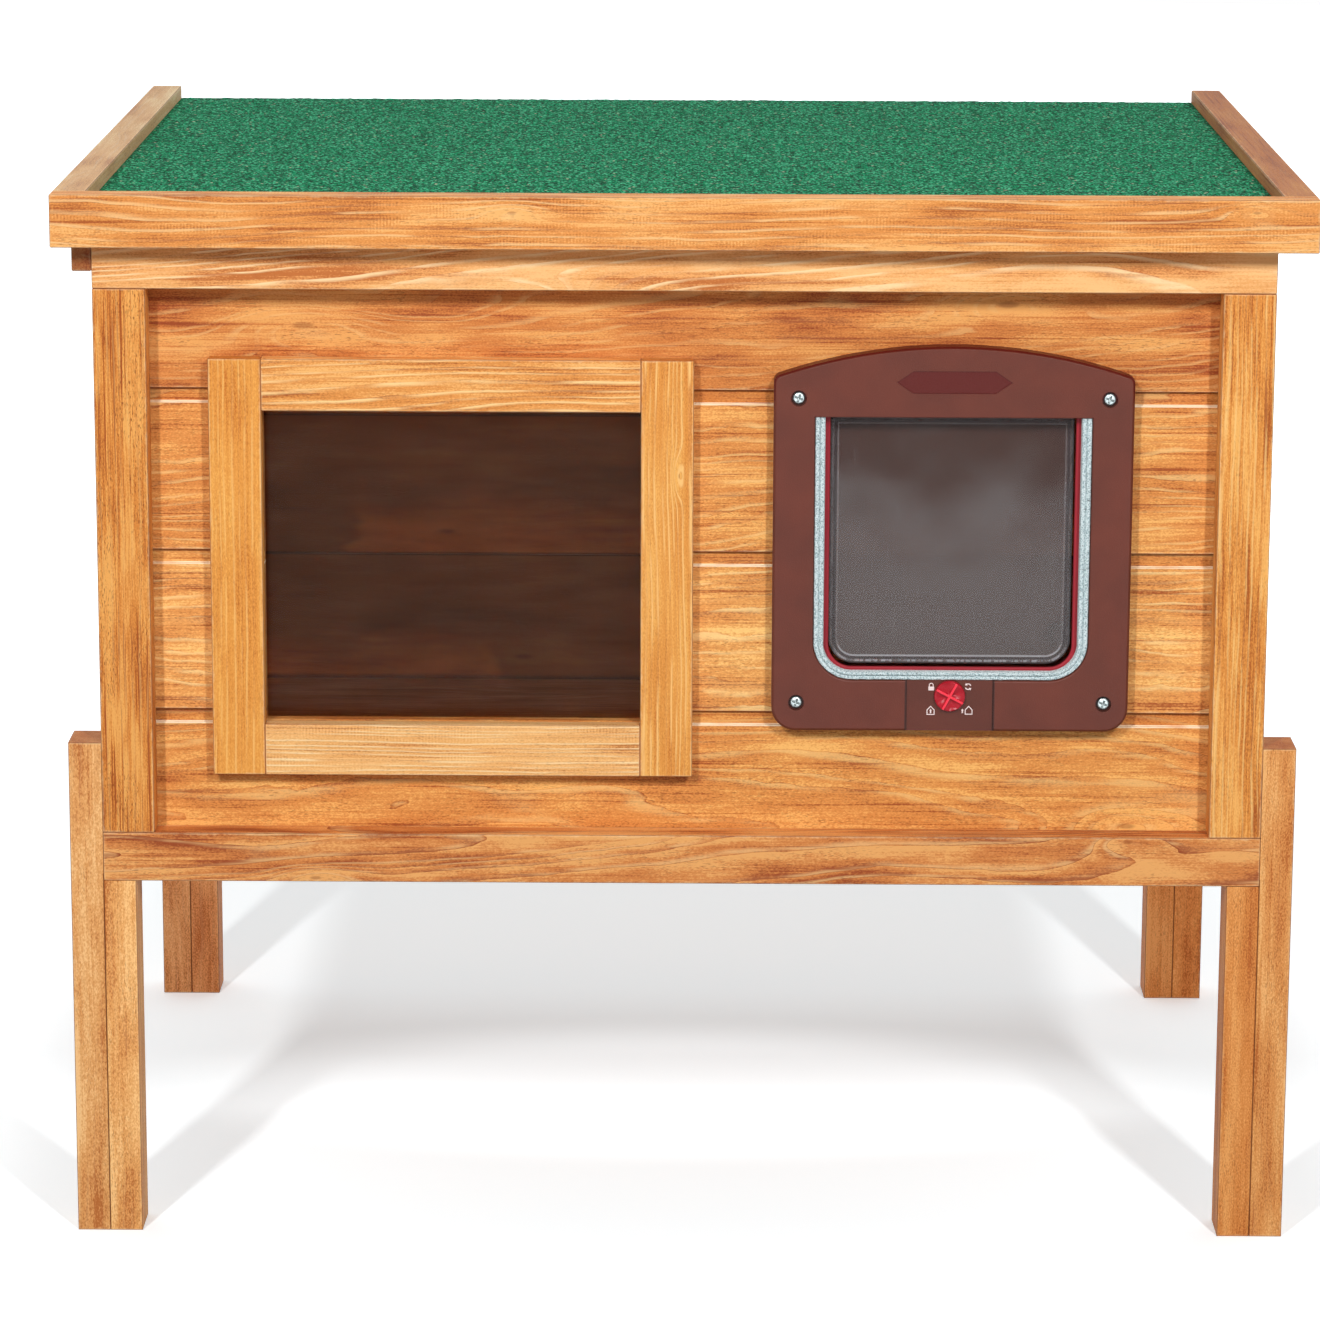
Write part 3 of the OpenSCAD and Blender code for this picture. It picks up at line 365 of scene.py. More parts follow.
# %% Floor
FLOOR_STEPS = 96
floor_radii = np.concatenate([[0], np.geomspace(100, FLOOR_RADIUS / MM, 24)])
floor_material, w, shader = new_material("white_floor", Roughness=0.9, Specular_IOR_Level=0.1,
                                         Emission_Color=(0.95, 1, 1.03, 1))
place = object_mm(w)
far = w.rise(w.vector("LENGTH", place), LIT_RADIUS / MM, WHITE_RADIUS / MM, FLOOR_LIFT, 1)
# Painted light: the pool lightens the body's shadow and the side lift fades the legs' shadows.
in_pool = w.vector("DIVIDE", w.vector("SUBTRACT", place, POOL_MIDDLE), POOL_SHAPE)
pool = w.rise(w.vector("LENGTH", in_pool), *POOL_REACH, 0, POOL_LIFT)
beside = w.rise(w.size(w.split(place)[0]), *SIDE_REACH, 0, SIDE_LIFT)
seen = seen_directly(w)
w.feed(shader.inputs["Emission Strength"], w.times(w.plus(far, pool, beside), seen))
finish(w, shader, w.blend(seen, FLOOR_LIT, FLOOR_SEEN))
floor_points = np.stack(swung([(radius, 0) for radius in floor_radii], FLOOR_STEPS), axis=-1)
floor = new_object("floor", floor_points.reshape(-1, 3),
                   grid_faces(len(floor_radii), FLOOR_STEPS), floor_material)

# %% [markdown]
# Stained pine looks the way it does because of growth rings. A board is cut from a trunk, and the
# dense outer part of each ring takes less stain, so it stays as a pale, slightly raised line. Where
# a face lies flat to the rings, the lines sweep in long arches, and where it cuts across them they
# run straight. A photograph or a stretched noise can't follow this around a corner. So the shader
# works like a trunk: it measures the distance from the heart of the tree, bends it a little along
# the length and around each knot, and counts rings. Finer noise then adds fibres, pores and stain.

# %% Pine grain group
NO_KNOT = (9999.0, 0, 0)
pine_grain, w, given, result = new_group(
    "pine grain",
    {"Place": (0, 0, 0), "Shift": (0, 0, 0), "Heart": (0, 40, 15), "Lean": (0, 0, 0),
     "Ring width": 5.0, "Sweep": 14.0, "Waves": 1.0, "Lines": 0.6, "Tone": 0.3, "Streaks": 1.0,
     "Blotches": 0.8, "Fuzz": 0.85, "Specks": 0.5, "Veins": 0.25, "Chatter": 0.0,
     "Knot A": NO_KNOT, "Knot B": NO_KNOT, "Knot size": 10.0,
     "Dark": (0, 0, 0, 1), "Middle": (0, 0, 0, 1), "Pale": (0, 0, 0, 1), "Line": (0, 0, 0, 1)},
    {"Color": "Color", "Roughness": "Float", "Height": "Float"})

place = w.vector("ADD", given["Place"], given["Shift"])
along = w.split(given["Place"])[0]

# Distance from the heart of the tree, which leans through the board and bends
bend = w.cloud(place, (260, 70, 70), detail=1.0, colour=True)
bend = w.scaled(w.vector("SUBTRACT", bend, (0.5, 0.5, 0.5)), w.times(given["Sweep"], 2))
lean = w.scaled(given["Lean"], along)
across = w.vector("SUBTRACT", w.vector("SUBTRACT", given["Place"], given["Heart"]), lean)
distance = w.vector("LENGTH", w.vector("MULTIPLY", w.vector("ADD", across, bend), (0, 1, 1)))

# Rings swell around a knot, which has a pale collar and a dark middle
collar, core = 0, 0
for knot in ("Knot A", "Knot B"):
    from_knot = w.vector("DIVIDE", w.vector("SUBTRACT", given["Place"], given[knot]), (3.2, 1, 1))
    nearness = w.over(w.vector("LENGTH", from_knot), given["Knot size"])
    swell = w.math("POWER", 0.37, w.times(nearness, nearness))
    distance = w.plus(distance, w.times(swell, w.times(given["Knot size"], 1.6)))
    collar = w.plus(collar, swell)
    core = w.plus(core, w.rise(nearness, 0.2, 0.08))

# Rings with a pale late line each
waves = w.plus(w.around(w.cloud(place, (26, 10, 10)), 3.6),
               w.around(w.cloud(place, (110, 24, 24), detail=0.0), 7.0))
waves = w.times(waves, given["Waves"])
rings = w.over(w.plus(distance, waves), given["Ring width"])
uneven = w.noise(w.join(w.times(rings, 0.43), 0.3, 0.7), detail=1.0)
phase = w.math("FRACT", w.plus(rings, w.around(uneven, 2.6)))
line = w.times(w.rise(phase, 0.55, 0.86), w.rise(phase, 1.0, 0.94))
line_fade = w.rise(w.cloud(place, (60, 5, 5), detail=1.0), 0.38, 0.58, 0.15, 1)
line = w.times(line, line_fade, given["Lines"])

# Fibres, stain, pores and the marks of the planer
fibre = w.cloud(place, (16, 0.45, 0.45), detail=3.0, roughness=0.7)
streak = w.cloud(place, (90, 1.5, 1.5), detail=4.0, roughness=0.62)
stain = w.cloud(place, (90, 17, 17))
fuzz = w.cloud(place, (1.6, 0.9, 0.9))
vein = w.rise(w.cloud(place, (140, 1.7, 1.7), detail=1.0), 0.6, 0.68)
pore = w.rise(w.cloud(place, (3.6, 0.5, 0.5), detail=1.0), 0.59, 0.7)
pore_area = w.rise(w.cloud(place, (60, 14, 14)), 0.4, 0.6, 0.1, 1)
pore = w.times(pore, pore_area)
ripple = w.math("SINE", w.times(along, 2.9))
ripple = w.times(ripple, w.rise(w.cloud(place, (40, 8, 8), detail=1.0), 0.48, 0.7))

value = w.plus(0.5, w.around(phase, w.times(given["Tone"], -1)))
for layer, size, amount in ((fibre, 1.2, "Streaks"), (streak, 1.2, "Streaks"),
                            (stain, 2.4, "Blotches"), (fuzz, 1.0, "Fuzz")):
    value = w.plus(value, w.times(w.around(layer, size), given[amount]))
value = w.plus(value, w.times(ripple, given["Chatter"]))
value = w.minus(value, w.times(vein, given["Veins"]))
value = w.plus(value, w.times(collar, 0.45))
colour = w.blend(w.rise(value, 0.02, 0.52), given["Dark"], given["Middle"])
colour = w.blend(w.rise(value, 0.5, 0.9), colour, given["Pale"])
colour = w.blend(line, colour, given["Line"])
burnt = w.shade(given["Dark"], (0.6, 0.48, 0.4))
dark = w.most(w.times(pore, given["Specks"]), w.times(core, 0.45))
w.feed(result["Color"], w.blend(dark, colour, burnt))
w.feed(result["Roughness"], w.plus(0.58, w.around(fibre, 0.5)))
height = w.plus(w.times(line, 0.14), w.around(fibre, 0.2))
height = w.plus(height, w.times(ripple, w.times(given["Chatter"], 0.3)))
w.feed(result["Height"], w.minus(height, w.times(pore, 0.1)))

# %% [markdown]
# Sawn edges never stay crisp. Hands and brushes round them, and the stain wears thin there. A box
# has a handy property: on its surface, the middle one of the three distances to its faces is the
# distance to the nearest edge. That number, roughened with noise, is a mask for edge wear that
# needs no painting. Right on the edge, stain and dust collect in a thin dark line, which sets off
# each piece of timber from the next.

# %% Edge wear group
edge_wear, w, given, result = new_group(
    "edge wear", {"Place": (0, 0, 0), "Half size": (10, 10, 10), "Width": 1.6},
    {"Wear": "Float", "Seam": "Float"})
a, b, c = w.split(w.vector("SUBTRACT", given["Half size"], w.vector("ABSOLUTE", given["Place"])))
middle = w.most(w.least(a, b), w.least(w.most(a, b), c))
rough = w.around(w.noise(w.scaled(given["Place"], 0.13), detail=3.0, roughness=0.7), 3.4)
w.feed(result["Wear"], w.rise(w.plus(middle, rough), given["Width"], 0.0))
w.feed(result["Seam"], w.rise(middle, 0.65, 0.3))

# %% [markdown]
# The square-edged timber is thirty-five by twenty-two millimetres throughout, but no two pieces
# came from the same place in the tree. Each piece gets its own material, with its own heart, ring
# width, knots and stain, all from the one group. A Bevel modifier takes the sharpness off the edges,
# after a Weld has joined the loose triangles that came in.

# %% Timber finish
def stain_colours(*colours):
    """Colours of one stain, from the dark of the grain to the pale lines of the rings."""
    return dict(zip(("Dark", "Middle", "Pale", "Line"), [srgb(*colour) for colour in colours]))


HONEY = stain_colours((168, 88, 36), (226, 150, 76), (248, 188, 116), (255, 212, 150))
CREAM = stain_colours((192, 112, 54), (237, 171, 104), (250, 196, 134), (255, 220, 170))
AMBER = stain_colours((192, 104, 34), (229, 152, 70), (246, 180, 96), (255, 200, 124))
RUSSET = stain_colours((160, 76, 34), (220, 140, 74), (246, 182, 110), (252, 204, 140))
ROUGH = stain_colours((186, 108, 52), (228, 164, 100), (250, 200, 140), (250, 208, 150))
INNER = stain_colours((150, 82, 42), (200, 130, 74), (224, 160, 100), (232, 180, 124))
WORN_EDGE = srgb(250, 214, 164)
END_TONE, SEAM_TONE = (0.75, 0.68, 0.6), (0.5, 0.38, 0.3)
WEAR_SHARE, SEAM_SHARE, END_SHARE = 0.45, 0.85, 0.55
RAW_WOOD = srgb(255, 236, 204)
AXIS_ORDER = {"X": "XYZ", "Y": "YXZ", "Z": "ZXY"}
ARRIS = 0.9
BOARDS, BOARD_FOOT, BOARD_PITCH, LEDGE = 4, 252.0, 109.25, 100.25
TRUNK_SPREAD = (1200, 44, 44)
WALL_MIDDLE, WALL_HALF = 464.75, 184.25
BATTEN_SPLIT, CABIN_DEEP, FLOOR_PITCH, FLOOR_TOP = 388.9, 252.0, 124.5, 262.0


def with_grain(w, vector, grain):
    """Turns a vector so that its first value runs along the grain."""
    parts = dict(zip("XYZ", w.split(vector)))
    return w.join(*[parts[axis] for axis in AXIS_ORDER[grain]])


def soften(obj, width, segments=2):
    """Joins the loose triangles of a piece and rounds its edges."""
    weld = obj.modifiers.new("join", "WELD")
    weld.merge_threshold = 1e-6
    flat = obj.modifiers.new("whole_faces", "DECIMATE")
    flat.decimate_type, flat.angle_limit = "DISSOLVE", math.radians(0.5)
    bevel = obj.modifiers.new("arris", "BEVEL")
    bevel.width, bevel.segments = width * MM, segments
    bevel.limit_method, bevel.angle_limit = "ANGLE", math.radians(40)


def dress(node, material):
    """Puts one material in every slot of a piece that came in."""
    for slot in nodes[node].material_slots:
        slot.material = material


def away_from_grain(w, grain):
    """One on end grain, nought on faces that the grain runs along."""
    normal = w.split(w.add("ShaderNodeTexCoord").outputs["Normal"])["XYZ".index(grain)]
    return w.rise(w.size(normal), 0.6, 0.95)


def wood(node, grain, seed, stain=HONEY, tone=(1, 1, 1), heart=(40, 15), lean=(0, 0), knots=(),
         apart=None, tint=None, arris=ARRIS, **look):
    """
    Finish for one wooden piece.

    heart is the middle of the rings, across the piece, in millimetres, and lean how far it
    wanders for each millimetre along. tone scales the stain's colours. apart gives boards of
    one piece an offset of their own, and tint changes the colour by place. A second letter in
    grain is the grain of the rails, above and below the walls.
    """
    lo, hi = box_mm(node)
    centre, half = (lo + hi) / 2, (hi - lo) / 2
    material, w, shader = new_material(node, Specular_IOR_Level=0.25)
    stain = {name: (*np.multiply(colour[:3], tone), 1.0) for name, colour in stain.items()}
    whole = object_mm(w)
    place = w.vector("SUBTRACT", whole, tuple(centre))
    turned = with_grain(w, place, grain[0])
    end = away_from_grain(w, grain[0])
    if len(grain) > 1:
        from_middle_height = w.size(w.minus(w.split(whole)[2], WALL_MIDDLE))
        is_rail = w.above(from_middle_height, WALL_HALF)
        turned = w.blend(is_rail, turned, with_grain(w, place, grain[1]))
        end = 0.0
    if apart:
        turned = w.vector("ADD", turned, apart(w, whole, seed))
    at_knots = dict(zip(("Knot_A", "Knot_B"), knots))
    pine = w.group(pine_grain, Place=turned, Shift=(331.7 * seed, 17.3 * seed, 7.9 * seed),
                   Heart=(0, *heart), Lean=(0, *lean), **at_knots, **stain, **look)
    edge = w.group(edge_wear, Place=place, Half_size=tuple(half))
    dark = stain["Dark"][:3]
    colour = w.blend(w.times(edge["Wear"], WEAR_SHARE), pine["Color"], WORN_EDGE)
    colour = w.blend(w.times(edge["Seam"], SEAM_SHARE), colour, w.shade(dark, SEAM_TONE))
    colour = w.blend(w.times(end, END_SHARE), colour, w.shade(dark, END_TONE))
    if tint:
        colour = tint(w, whole, colour)
    finish(w, shader, colour, pine["Roughness"], pine["Height"])
    dress(node, material)
    soften(nodes[node], arris)


# %% Front frame and roof edges
wood("roof_front_fascia", "X", 1, tone=(0.96, 0.91, 0.86), heart=(18, 60), lean=(0, 0.015),
     Waves=0.5, Lines=0.7, Streaks=0.65, Blotches=0.6, Chatter=0.12, Specks=0.4,
     knots=[(-112, -10, 7), (372, -10, 9)], Knot_size=6.0)
wood("front_top_rail", "X", 2, stain=CREAM, tone=(0.96, 0.94, 0.89), heart=(30, -60),
     lean=(0.02, 0.12), Ring_width=5.5, Sweep=16, Waves=0.5, Lines=0.95, Tone=0.2, Streaks=0.75,
     Blotches=0.9, Specks=0.2, Veins=0.2, knots=[(-105, -8, -27)], Knot_size=17.0)
wood("front_bottom_rail", "X", 3, stain=RUSSET, tone=(0.88, 0.83, 0.8), heart=(16, 14),
     lean=(0.05, 0.03), Ring_width=7.0, Sweep=24, Waves=0.6, Lines=0.65, Tone=0.7, Streaks=0.6,
     Blotches=0.85, knots=[(-246, -11, -14), (300, -11, 14)], Knot_size=8.0)
wood("front_left_stile", "Z", 4, tone=(0.88, 0.77, 0.56), heart=(60, 4), Ring_width=4.4, Sweep=8,
     Waves=0.4, Lines=0.35, Streaks=1.3, Specks=0.9, Veins=0.6)
wood("front_right_stile", "Z", 5, tone=(0.95, 0.89, 0.69), heart=(70, -30), Ring_width=4.0, Sweep=8,
     Waves=0.5, Lines=0.7, Blotches=0.6, Specks=0.4)
STRIP = dict(stain=RUSSET, heart=(20, 40), Sweep=16, Lines=0.15, Tone=0.1, Blotches=0.4)
wood("roof_left_strip", "Y", 6, tone=(0.94, 1.46, 2.5), Streaks=0.4, Veins=0.0, **STRIP)
wood("roof_right_strip", "Y", 7, tone=(0.63, 0.56, 0.46), Streaks=0.5, **STRIP)
wood("left_side_batten", "Y", 8, stain=RUSSET, tone=(0.7, 0.72, 0.75), heart=(20, 20), Sweep=10)

# %% Window frame
wood("window_left_stile", "Z", 9, stain=AMBER, tone=(0.98, 1.0, 0.93), heart=(50, -36),
     Ring_width=3.8, Sweep=7, Waves=0.3, Tone=0.2, Streaks=0.5, Blotches=0.35, Specks=0.3, Veins=0.1)
wood("window_right_stile", "Z", 10, stain=AMBER, tone=(0.95, 0.96, 0.96), heart=(-44, 34),
     Ring_width=3.4, Sweep=9, Waves=0.35, Lines=0.95, Tone=0.4, Streaks=0.55, Blotches=0.4,
     Specks=0.3, Veins=0.1, knots=[(64, 8, -6)], Knot_size=4.0)
wood("window_top_rail", "X", 11, tone=(0.97, 0.95, 0.89), heart=(52, -56), lean=(0, 0.03),
     Ring_width=3.6, Sweep=9, Waves=0.35, Lines=1.0, Tone=0.45, Streaks=0.6, Blotches=0.4, Specks=0.3)
wood("window_bottom_rail", "X", 12, stain=CREAM, tone=(1.0, 1.04, 1.0), heart=(60, -50),
     Ring_width=2.2, Sweep=5, Waves=0.25, Lines=0.9, Tone=0.45, Streaks=0.5, Blotches=0.3, Specks=0.3,
     Chatter=0.1)

# %% [markdown]
# The walls are four boards high. Each board has a shallow channel along its upper edge, cut after
# the stain had been applied in places, so a thin line of raw wood shows along the channel's ledge.
# The height within a board is the height above the base modulo the board's pitch. From it come the
# channel's darker band, the raw line and a dark line at the joint, which is painted shade under the
# upper board's edge. The number of the board, through a white noise, picks its own place in the trunk.

# %% Wall boards
def board_number(w, whole):
    """Number of the board at a height, from nought at the foot of the wall, and the height in it."""
    level = w.minus(w.split(whole)[2], BOARD_FOOT)
    number = w.math("FLOOR", w.over(level, BOARD_PITCH))
    return number, w.minus(level, w.times(number, BOARD_PITCH))


def random_offset(w, number, seed):
    """Offset in millimetres that depends only on a board's number and a seed."""
    white = w.add("ShaderNodeTexWhiteNoise", noise_dimensions="1D")
    w.feed(white.inputs["W"], w.plus(number, 13.7 * seed))
    around_nought = w.vector("SUBTRACT", white.outputs["Color"], (0.5, 0.5, 0.5))
    return w.vector("MULTIPLY", around_nought, TRUNK_SPREAD)


def boards_apart(w, whole, seed):
    """Offset for boards that lie above each other."""
    return random_offset(w, board_number(w, whole)[0], seed)


def channel_tint(w, whole, colour):
    """Darkens the channel, paints shade along its joint under the upper board's edge, and leaves raw wood
    along the channel's ledge.
    """
    number, height = board_number(w, whole)
    jointed = w.below(number, BOARDS - 1.5)
    channel = w.times(w.rise(height, LEDGE, LEDGE + 0.6), jointed)
    colour = w.tinted(colour, channel, (0.86, 0.78, 0.7))
    # Painted shade: a dark line along the joint, under the upper board's edge.
    joint = w.times(w.rise(height, BOARD_PITCH - 2.4, BOARD_PITCH - 0.4), jointed)
    colour = w.tinted(colour, w.times(joint, 0.7), (0.5, 0.4, 0.34))
    line = w.times(w.rise(height, LEDGE - 1.3, LEDGE - 0.8), w.rise(height, LEDGE + 0.5, LEDGE + 0.2))
    patchy = w.rise(w.cloud(whole, (30, 30, 9)), 0.3, 0.55, 0.5, 1)
    line = w.times(line, jointed, patchy)
    return w.blend(w.times(line, 0.9), colour, RAW_WOOD)


WALL_BOARD = dict(stain=RUSSET, arris=0.5)
JOINTED = dict(tint=channel_tint, **WALL_BOARD)
wood("front_plank_1", "X", 21, tone=(0.86, 0.8, 0.7), heart=(34, 30), lean=(0.05, 0.03), Sweep=24,
     Lines=0.5, Tone=0.1, Streaks=0.7, knots=[(-252, -6, -10), (214, -6, 6)], Knot_size=15.0,
     **WALL_BOARD)
wood("front_plank_2", "X", 22, tone=(0.99, 1.03, 0.92), heart=(60, 50), lean=(0.02, 0.04),
     Ring_width=4.6, Sweep=18, Tone=0.25, Streaks=0.6, Blotches=0.45, **JOINTED)
wood("front_plank_3", "X", 23, tone=(1.09, 1.28, 1.28), heart=(70, -60), Ring_width=4.6, Tone=0.25,
     Streaks=0.5, Blotches=0.5, **JOINTED)
wood("front_plank_4", "X", 24, tone=(1.0, 1.05, 0.92), heart=(26, -14), lean=(0.03, 0),
     Ring_width=5.6, Sweep=22, Waves=0.7, Lines=0.5, Tone=0.35, Streaks=0.45, Blotches=0.45, Fuzz=0.9,
     knots=[(300, -6, -26)], Knot_size=13.0, **JOINTED)
for seed, planks, grain in ((25, "back_planks", "X"), (26, "left_planks", "Y"), (27, "right_planks", "Y")):
    wood(planks, grain, seed, Sweep=26, Lines=0.5, Tone=0.25, Streaks=0.6, Blotches=0.5,
         apart=boards_apart, **JOINTED)


# %% Legs and the frames of the other walls
def battens_apart(w, whole, seed):
    """Sets the batten beside the body apart from the one under it."""
    outer = w.above(w.size(w.split(whole)[0]), BATTEN_SPLIT)
    return random_offset(w, outer, seed)


def stiles_apart(w, whole, seed):
    """Sets the upper rail apart from the lower one, and each stile from the others."""
    x, y, z = w.split(w.vector("SUBTRACT", whole, (0, 0, WALL_MIDDLE)))
    is_rail = w.above(w.size(z), WALL_HALF)
    rail = w.times(w.math("SIGN", z), 5.0)
    stile = w.math("MULTIPLY_ADD", w.math("SIGN", y), 3.0, w.math("SIGN", x))
    return random_offset(w, w.rise(is_rail, 0, 1, stile, rail), seed)


def leg_tint(inner):
    """Tint of a leg: the inner batten's tone and the dark joint between the two battens."""
    def tint(w, whole, colour):
        x, _, z = w.split(whole)
        from_split = w.minus(w.size(x), BATTEN_SPLIT)
        colour = w.tinted(colour, w.below(from_split, 0.0), inner)
        joint = w.times(w.rise(w.size(from_split), 0.8, 0.2), w.below(z, BOARD_FOOT))
        return w.tinted(colour, w.times(joint, 0.85), (0.3, 0.18, 0.1))
    return tint


# The back legs' tones are partly painted light: they are lighter to offset the body's shadow on them.
for seed, leg, tone, inner in ((31, "front_left_leg", (0.99, 0.97, 0.92), (1.08, 1.08, 1.03)),
                               (32, "front_right_leg", (0.92, 0.79, 0.63), (0.95, 0.83, 0.69)),
                               (33, "back_left_leg", (1.2, 1.06, 1.1), (0.97, 0.9, 0.86)),
                               (34, "back_right_leg", (1.1, 0.79, 0.56), (0.95, 0.92, 0.9))):
    wood(leg, "Z", seed, stain=ROUGH, tone=tone, Ring_width=4.6, Sweep=10, Lines=0.15, Tone=0.15,
         Streaks=0.4, Fuzz=1.3, Veins=0.15, Blotches=0.7, apart=battens_apart, tint=leg_tint(inner))
for seed, side, grain in ((36, "back_frame", "ZX"), (37, "left_frame", "ZY"), (38, "right_frame", "ZY")):
    wood(side, grain, seed, Sweep=12, Waves=0.6, Streaks=0.75, Blotches=0.5, apart=stiles_apart)


# %% Boards inside
PALE_FROM, PALE_SHIFT = -203.0, -50.0


def floor_apart(w, whole, seed):
    """Offset for floor boards that lie beside each other."""
    from_front = w.plus(w.split(whole)[1], CABIN_DEEP)
    return random_offset(w, w.math("FLOOR", w.over(from_front, FLOOR_PITCH)), seed)


def joint_tint(w, whole, colour):
    """Darkens the joints of the inner boards, and pales each board's lower edge on one side by turns."""
    number, height = board_number(w, whole)
    joint = w.rise(w.least(height, w.minus(BOARD_PITCH, height)), 1.8, 0.6)
    foot = w.rise(w.split(whole)[2], FLOOR_TOP + 5, FLOOR_TOP + 1)
    dark = w.times(w.most(joint, foot), 0.8)
    side = w.minus(w.times(w.math("MODULO", number, 2.0), 2.0), 1.0)
    from_change = w.minus(w.split(whole)[0], w.plus(w.times(side, PALE_SHIFT), PALE_FROM))
    rough = w.around(w.cloud(whole, (70, 70, 22), detail=3.0), 60.0)
    from_change = w.plus(w.times(from_change, side), rough)
    pale = w.times(w.rise(from_change, -8, 6), w.rise(w.plus(height, rough), 55, 14))
    return w.tinted(w.tinted(colour, pale, (1.85, 1.75, 1.35)), dark, (0.3, 0.26, 0.22))


wood("back_lining", "X", 42, stain=INNER, tone=(0.69, 0.68, 0.58), heart=(30, 6), lean=(0.04, 0),
     Ring_width=9, Sweep=50, Streaks=0.25, Lines=0.15, Tone=0.1, Veins=0.0, Blotches=0.5,
     knots=[(-183, -3, -89), (-124, -3, -188)], Knot_size=16.0, tint=joint_tint, arris=0.05)
INSIDE = dict(stain=INNER, Streaks=0.5, Blotches=0.4)
for seed, (side, grain) in enumerate((("front", "X"), ("roof", "X"), ("left", "Y"), ("right", "Y")), 43):
    wood(side + "_lining", grain, seed, Sweep=30, apart=boards_apart, tint=joint_tint, arris=0.05,
         **INSIDE)
wood("floor_boards", "X", 47, tone=(1.06, 1.5, 1.95), Sweep=30, apart=floor_apart, arris=0.4, **INSIDE)
wood("window_beads", "X", 48, stain=INNER, Sweep=6, arris=0.4)
for seed, sheet in enumerate(("base_board", "roof_panel"), 49):
    wood(sheet, "X", seed, heart=(600, 3), Ring_width=14, Sweep=90, Lines=0.3, arris=0.3, **INSIDE)
print("wooden pieces finished:", sum("arris" in node.modifiers for node in nodes.values()))

# %% [markdown]
# The lid is covered with mineral felt: crushed slate, dyed green, pressed into bitumen. Each
# granule is about two millimetres wide and has its own shade. The sheet is a grid with one point
# for each granule, lowered at random, and a cell pattern gives the granules their colour.

# %% Roof felt
GRANULE = 2.3
FELT_RISE = 0.7

felt_material, w, shader = new_material("roof_felt_surface", Specular_IOR_Level=0.12)
place = object_mm(w)
cell = w.cells(w.vector("ADD", place, w.scaled(w.noise(place, colour=True), 1.2)), 1.75)
shade, tone, rare = w.split(cell["Color"])
colour = w.blend(w.rise(shade, 0.1, 0.75), srgb(0, 82, 48), srgb(16, 154, 102))
colour = w.blend(w.rise(tone, 0.6, 0.85), colour, srgb(84, 198, 148))
colour = w.blend(w.rise(rare, 0.985, 0.99), colour, srgb(170, 180, 150))
gap = w.rise(cell["Distance"], 0.42, 0.75)
colour = w.blend(w.times(gap, 0.85), colour, srgb(2, 26, 18))
height = w.times(w.minus(1.0, cell["Distance"]), 0.9)
finish(w, shader, colour, w.rise(shade, 0, 1, 0.75, 0.98), height)


def granular_sheet(lo, hi, pitch, drop):
    """
    Closed sheet with a rough top.

    The top is a grid; each point is lowered by a random share of the drop, and points on the
    rim by all of it. The rim's points are repeated at the bottom, and one face closes it.
    """
    count = np.round((hi - lo)[:2] / pitch).astype(int) + 1
    x = np.linspace(lo[0], hi[0], count[0])
    y = np.linspace(lo[1], hi[1], count[1])
    top = np.stack([*np.meshgrid(x, y), np.full((count[1], count[0]), hi[2])], axis=-1)
    fall = np.random.default_rng(5).random((count[1], count[0]))
    fall[[0, -1]] = 1
    fall[:, [0, -1]] = 1
    top[..., 2] -= drop * fall
    index = np.arange(count[0] * count[1]).reshape(count[1], count[0])
    rim = np.concatenate([index[0, :-1], index[:-1, -1], index[-1, :0:-1], index[:0:-1, 0]])
    bottom = top.reshape(-1, 3)[rim] * (1, 1, 0) + (0, 0, lo[2])
    low = index.size + np.arange(len(rim))
    sides = np.stack([rim, low, np.roll(low, -1), np.roll(rim, -1)], axis=-1)
    points = np.concatenate([top.reshape(-1, 3), bottom])
    faces = grid_faces(count[1], count[0], wrap=False).tolist() + sides.tolist() + [low[::-1].tolist()]
    return points, faces


felt_mesh = granular_sheet(*box_mm("roof_felt"), GRANULE, FELT_RISE)
roof_felt = new_object("felt_sheet", *felt_mesh, felt_material, sharp=80)
hand_over(roof_felt, "roof_lid", "mineral_felt", "roof_felt")

# %% [markdown]
# The cat flap's frame is one moulding in brown plastic. Moulded plastic has no sharp edges, since
# the mould is cut with a round tool, and its face is lightly textured so that scratches don't show.
# Its shape is taken from the solid, with its outer edge and its opening each rounded by as much as
# the moulding shows; the recess around the dial stays sharp.

# %% Moulded plastic
def plastic(name, colour, roughness=0.45, grain=0.35, grain_size=0.6, shade=0.12):
    """Plastic with a fine cast texture and a slow change of shade."""
    material, w, shader = new_material(name, Specular_IOR_Level=0.3)
    place = object_mm(w)
    texture = w.noise(w.scaled(place, 1 / grain_size))
    slow = w.noise(w.scaled(place, 0.03))
    level = w.plus(1.0, w.plus(w.around(slow, shade * 2), w.around(texture, shade)))
    base = w.scaled(colour[:3], level)
    gloss = w.plus(roughness, w.around(texture, 0.2))
    finish(w, shader, base, gloss, w.times(texture, grain * 0.12))
    return material, w, shader, base


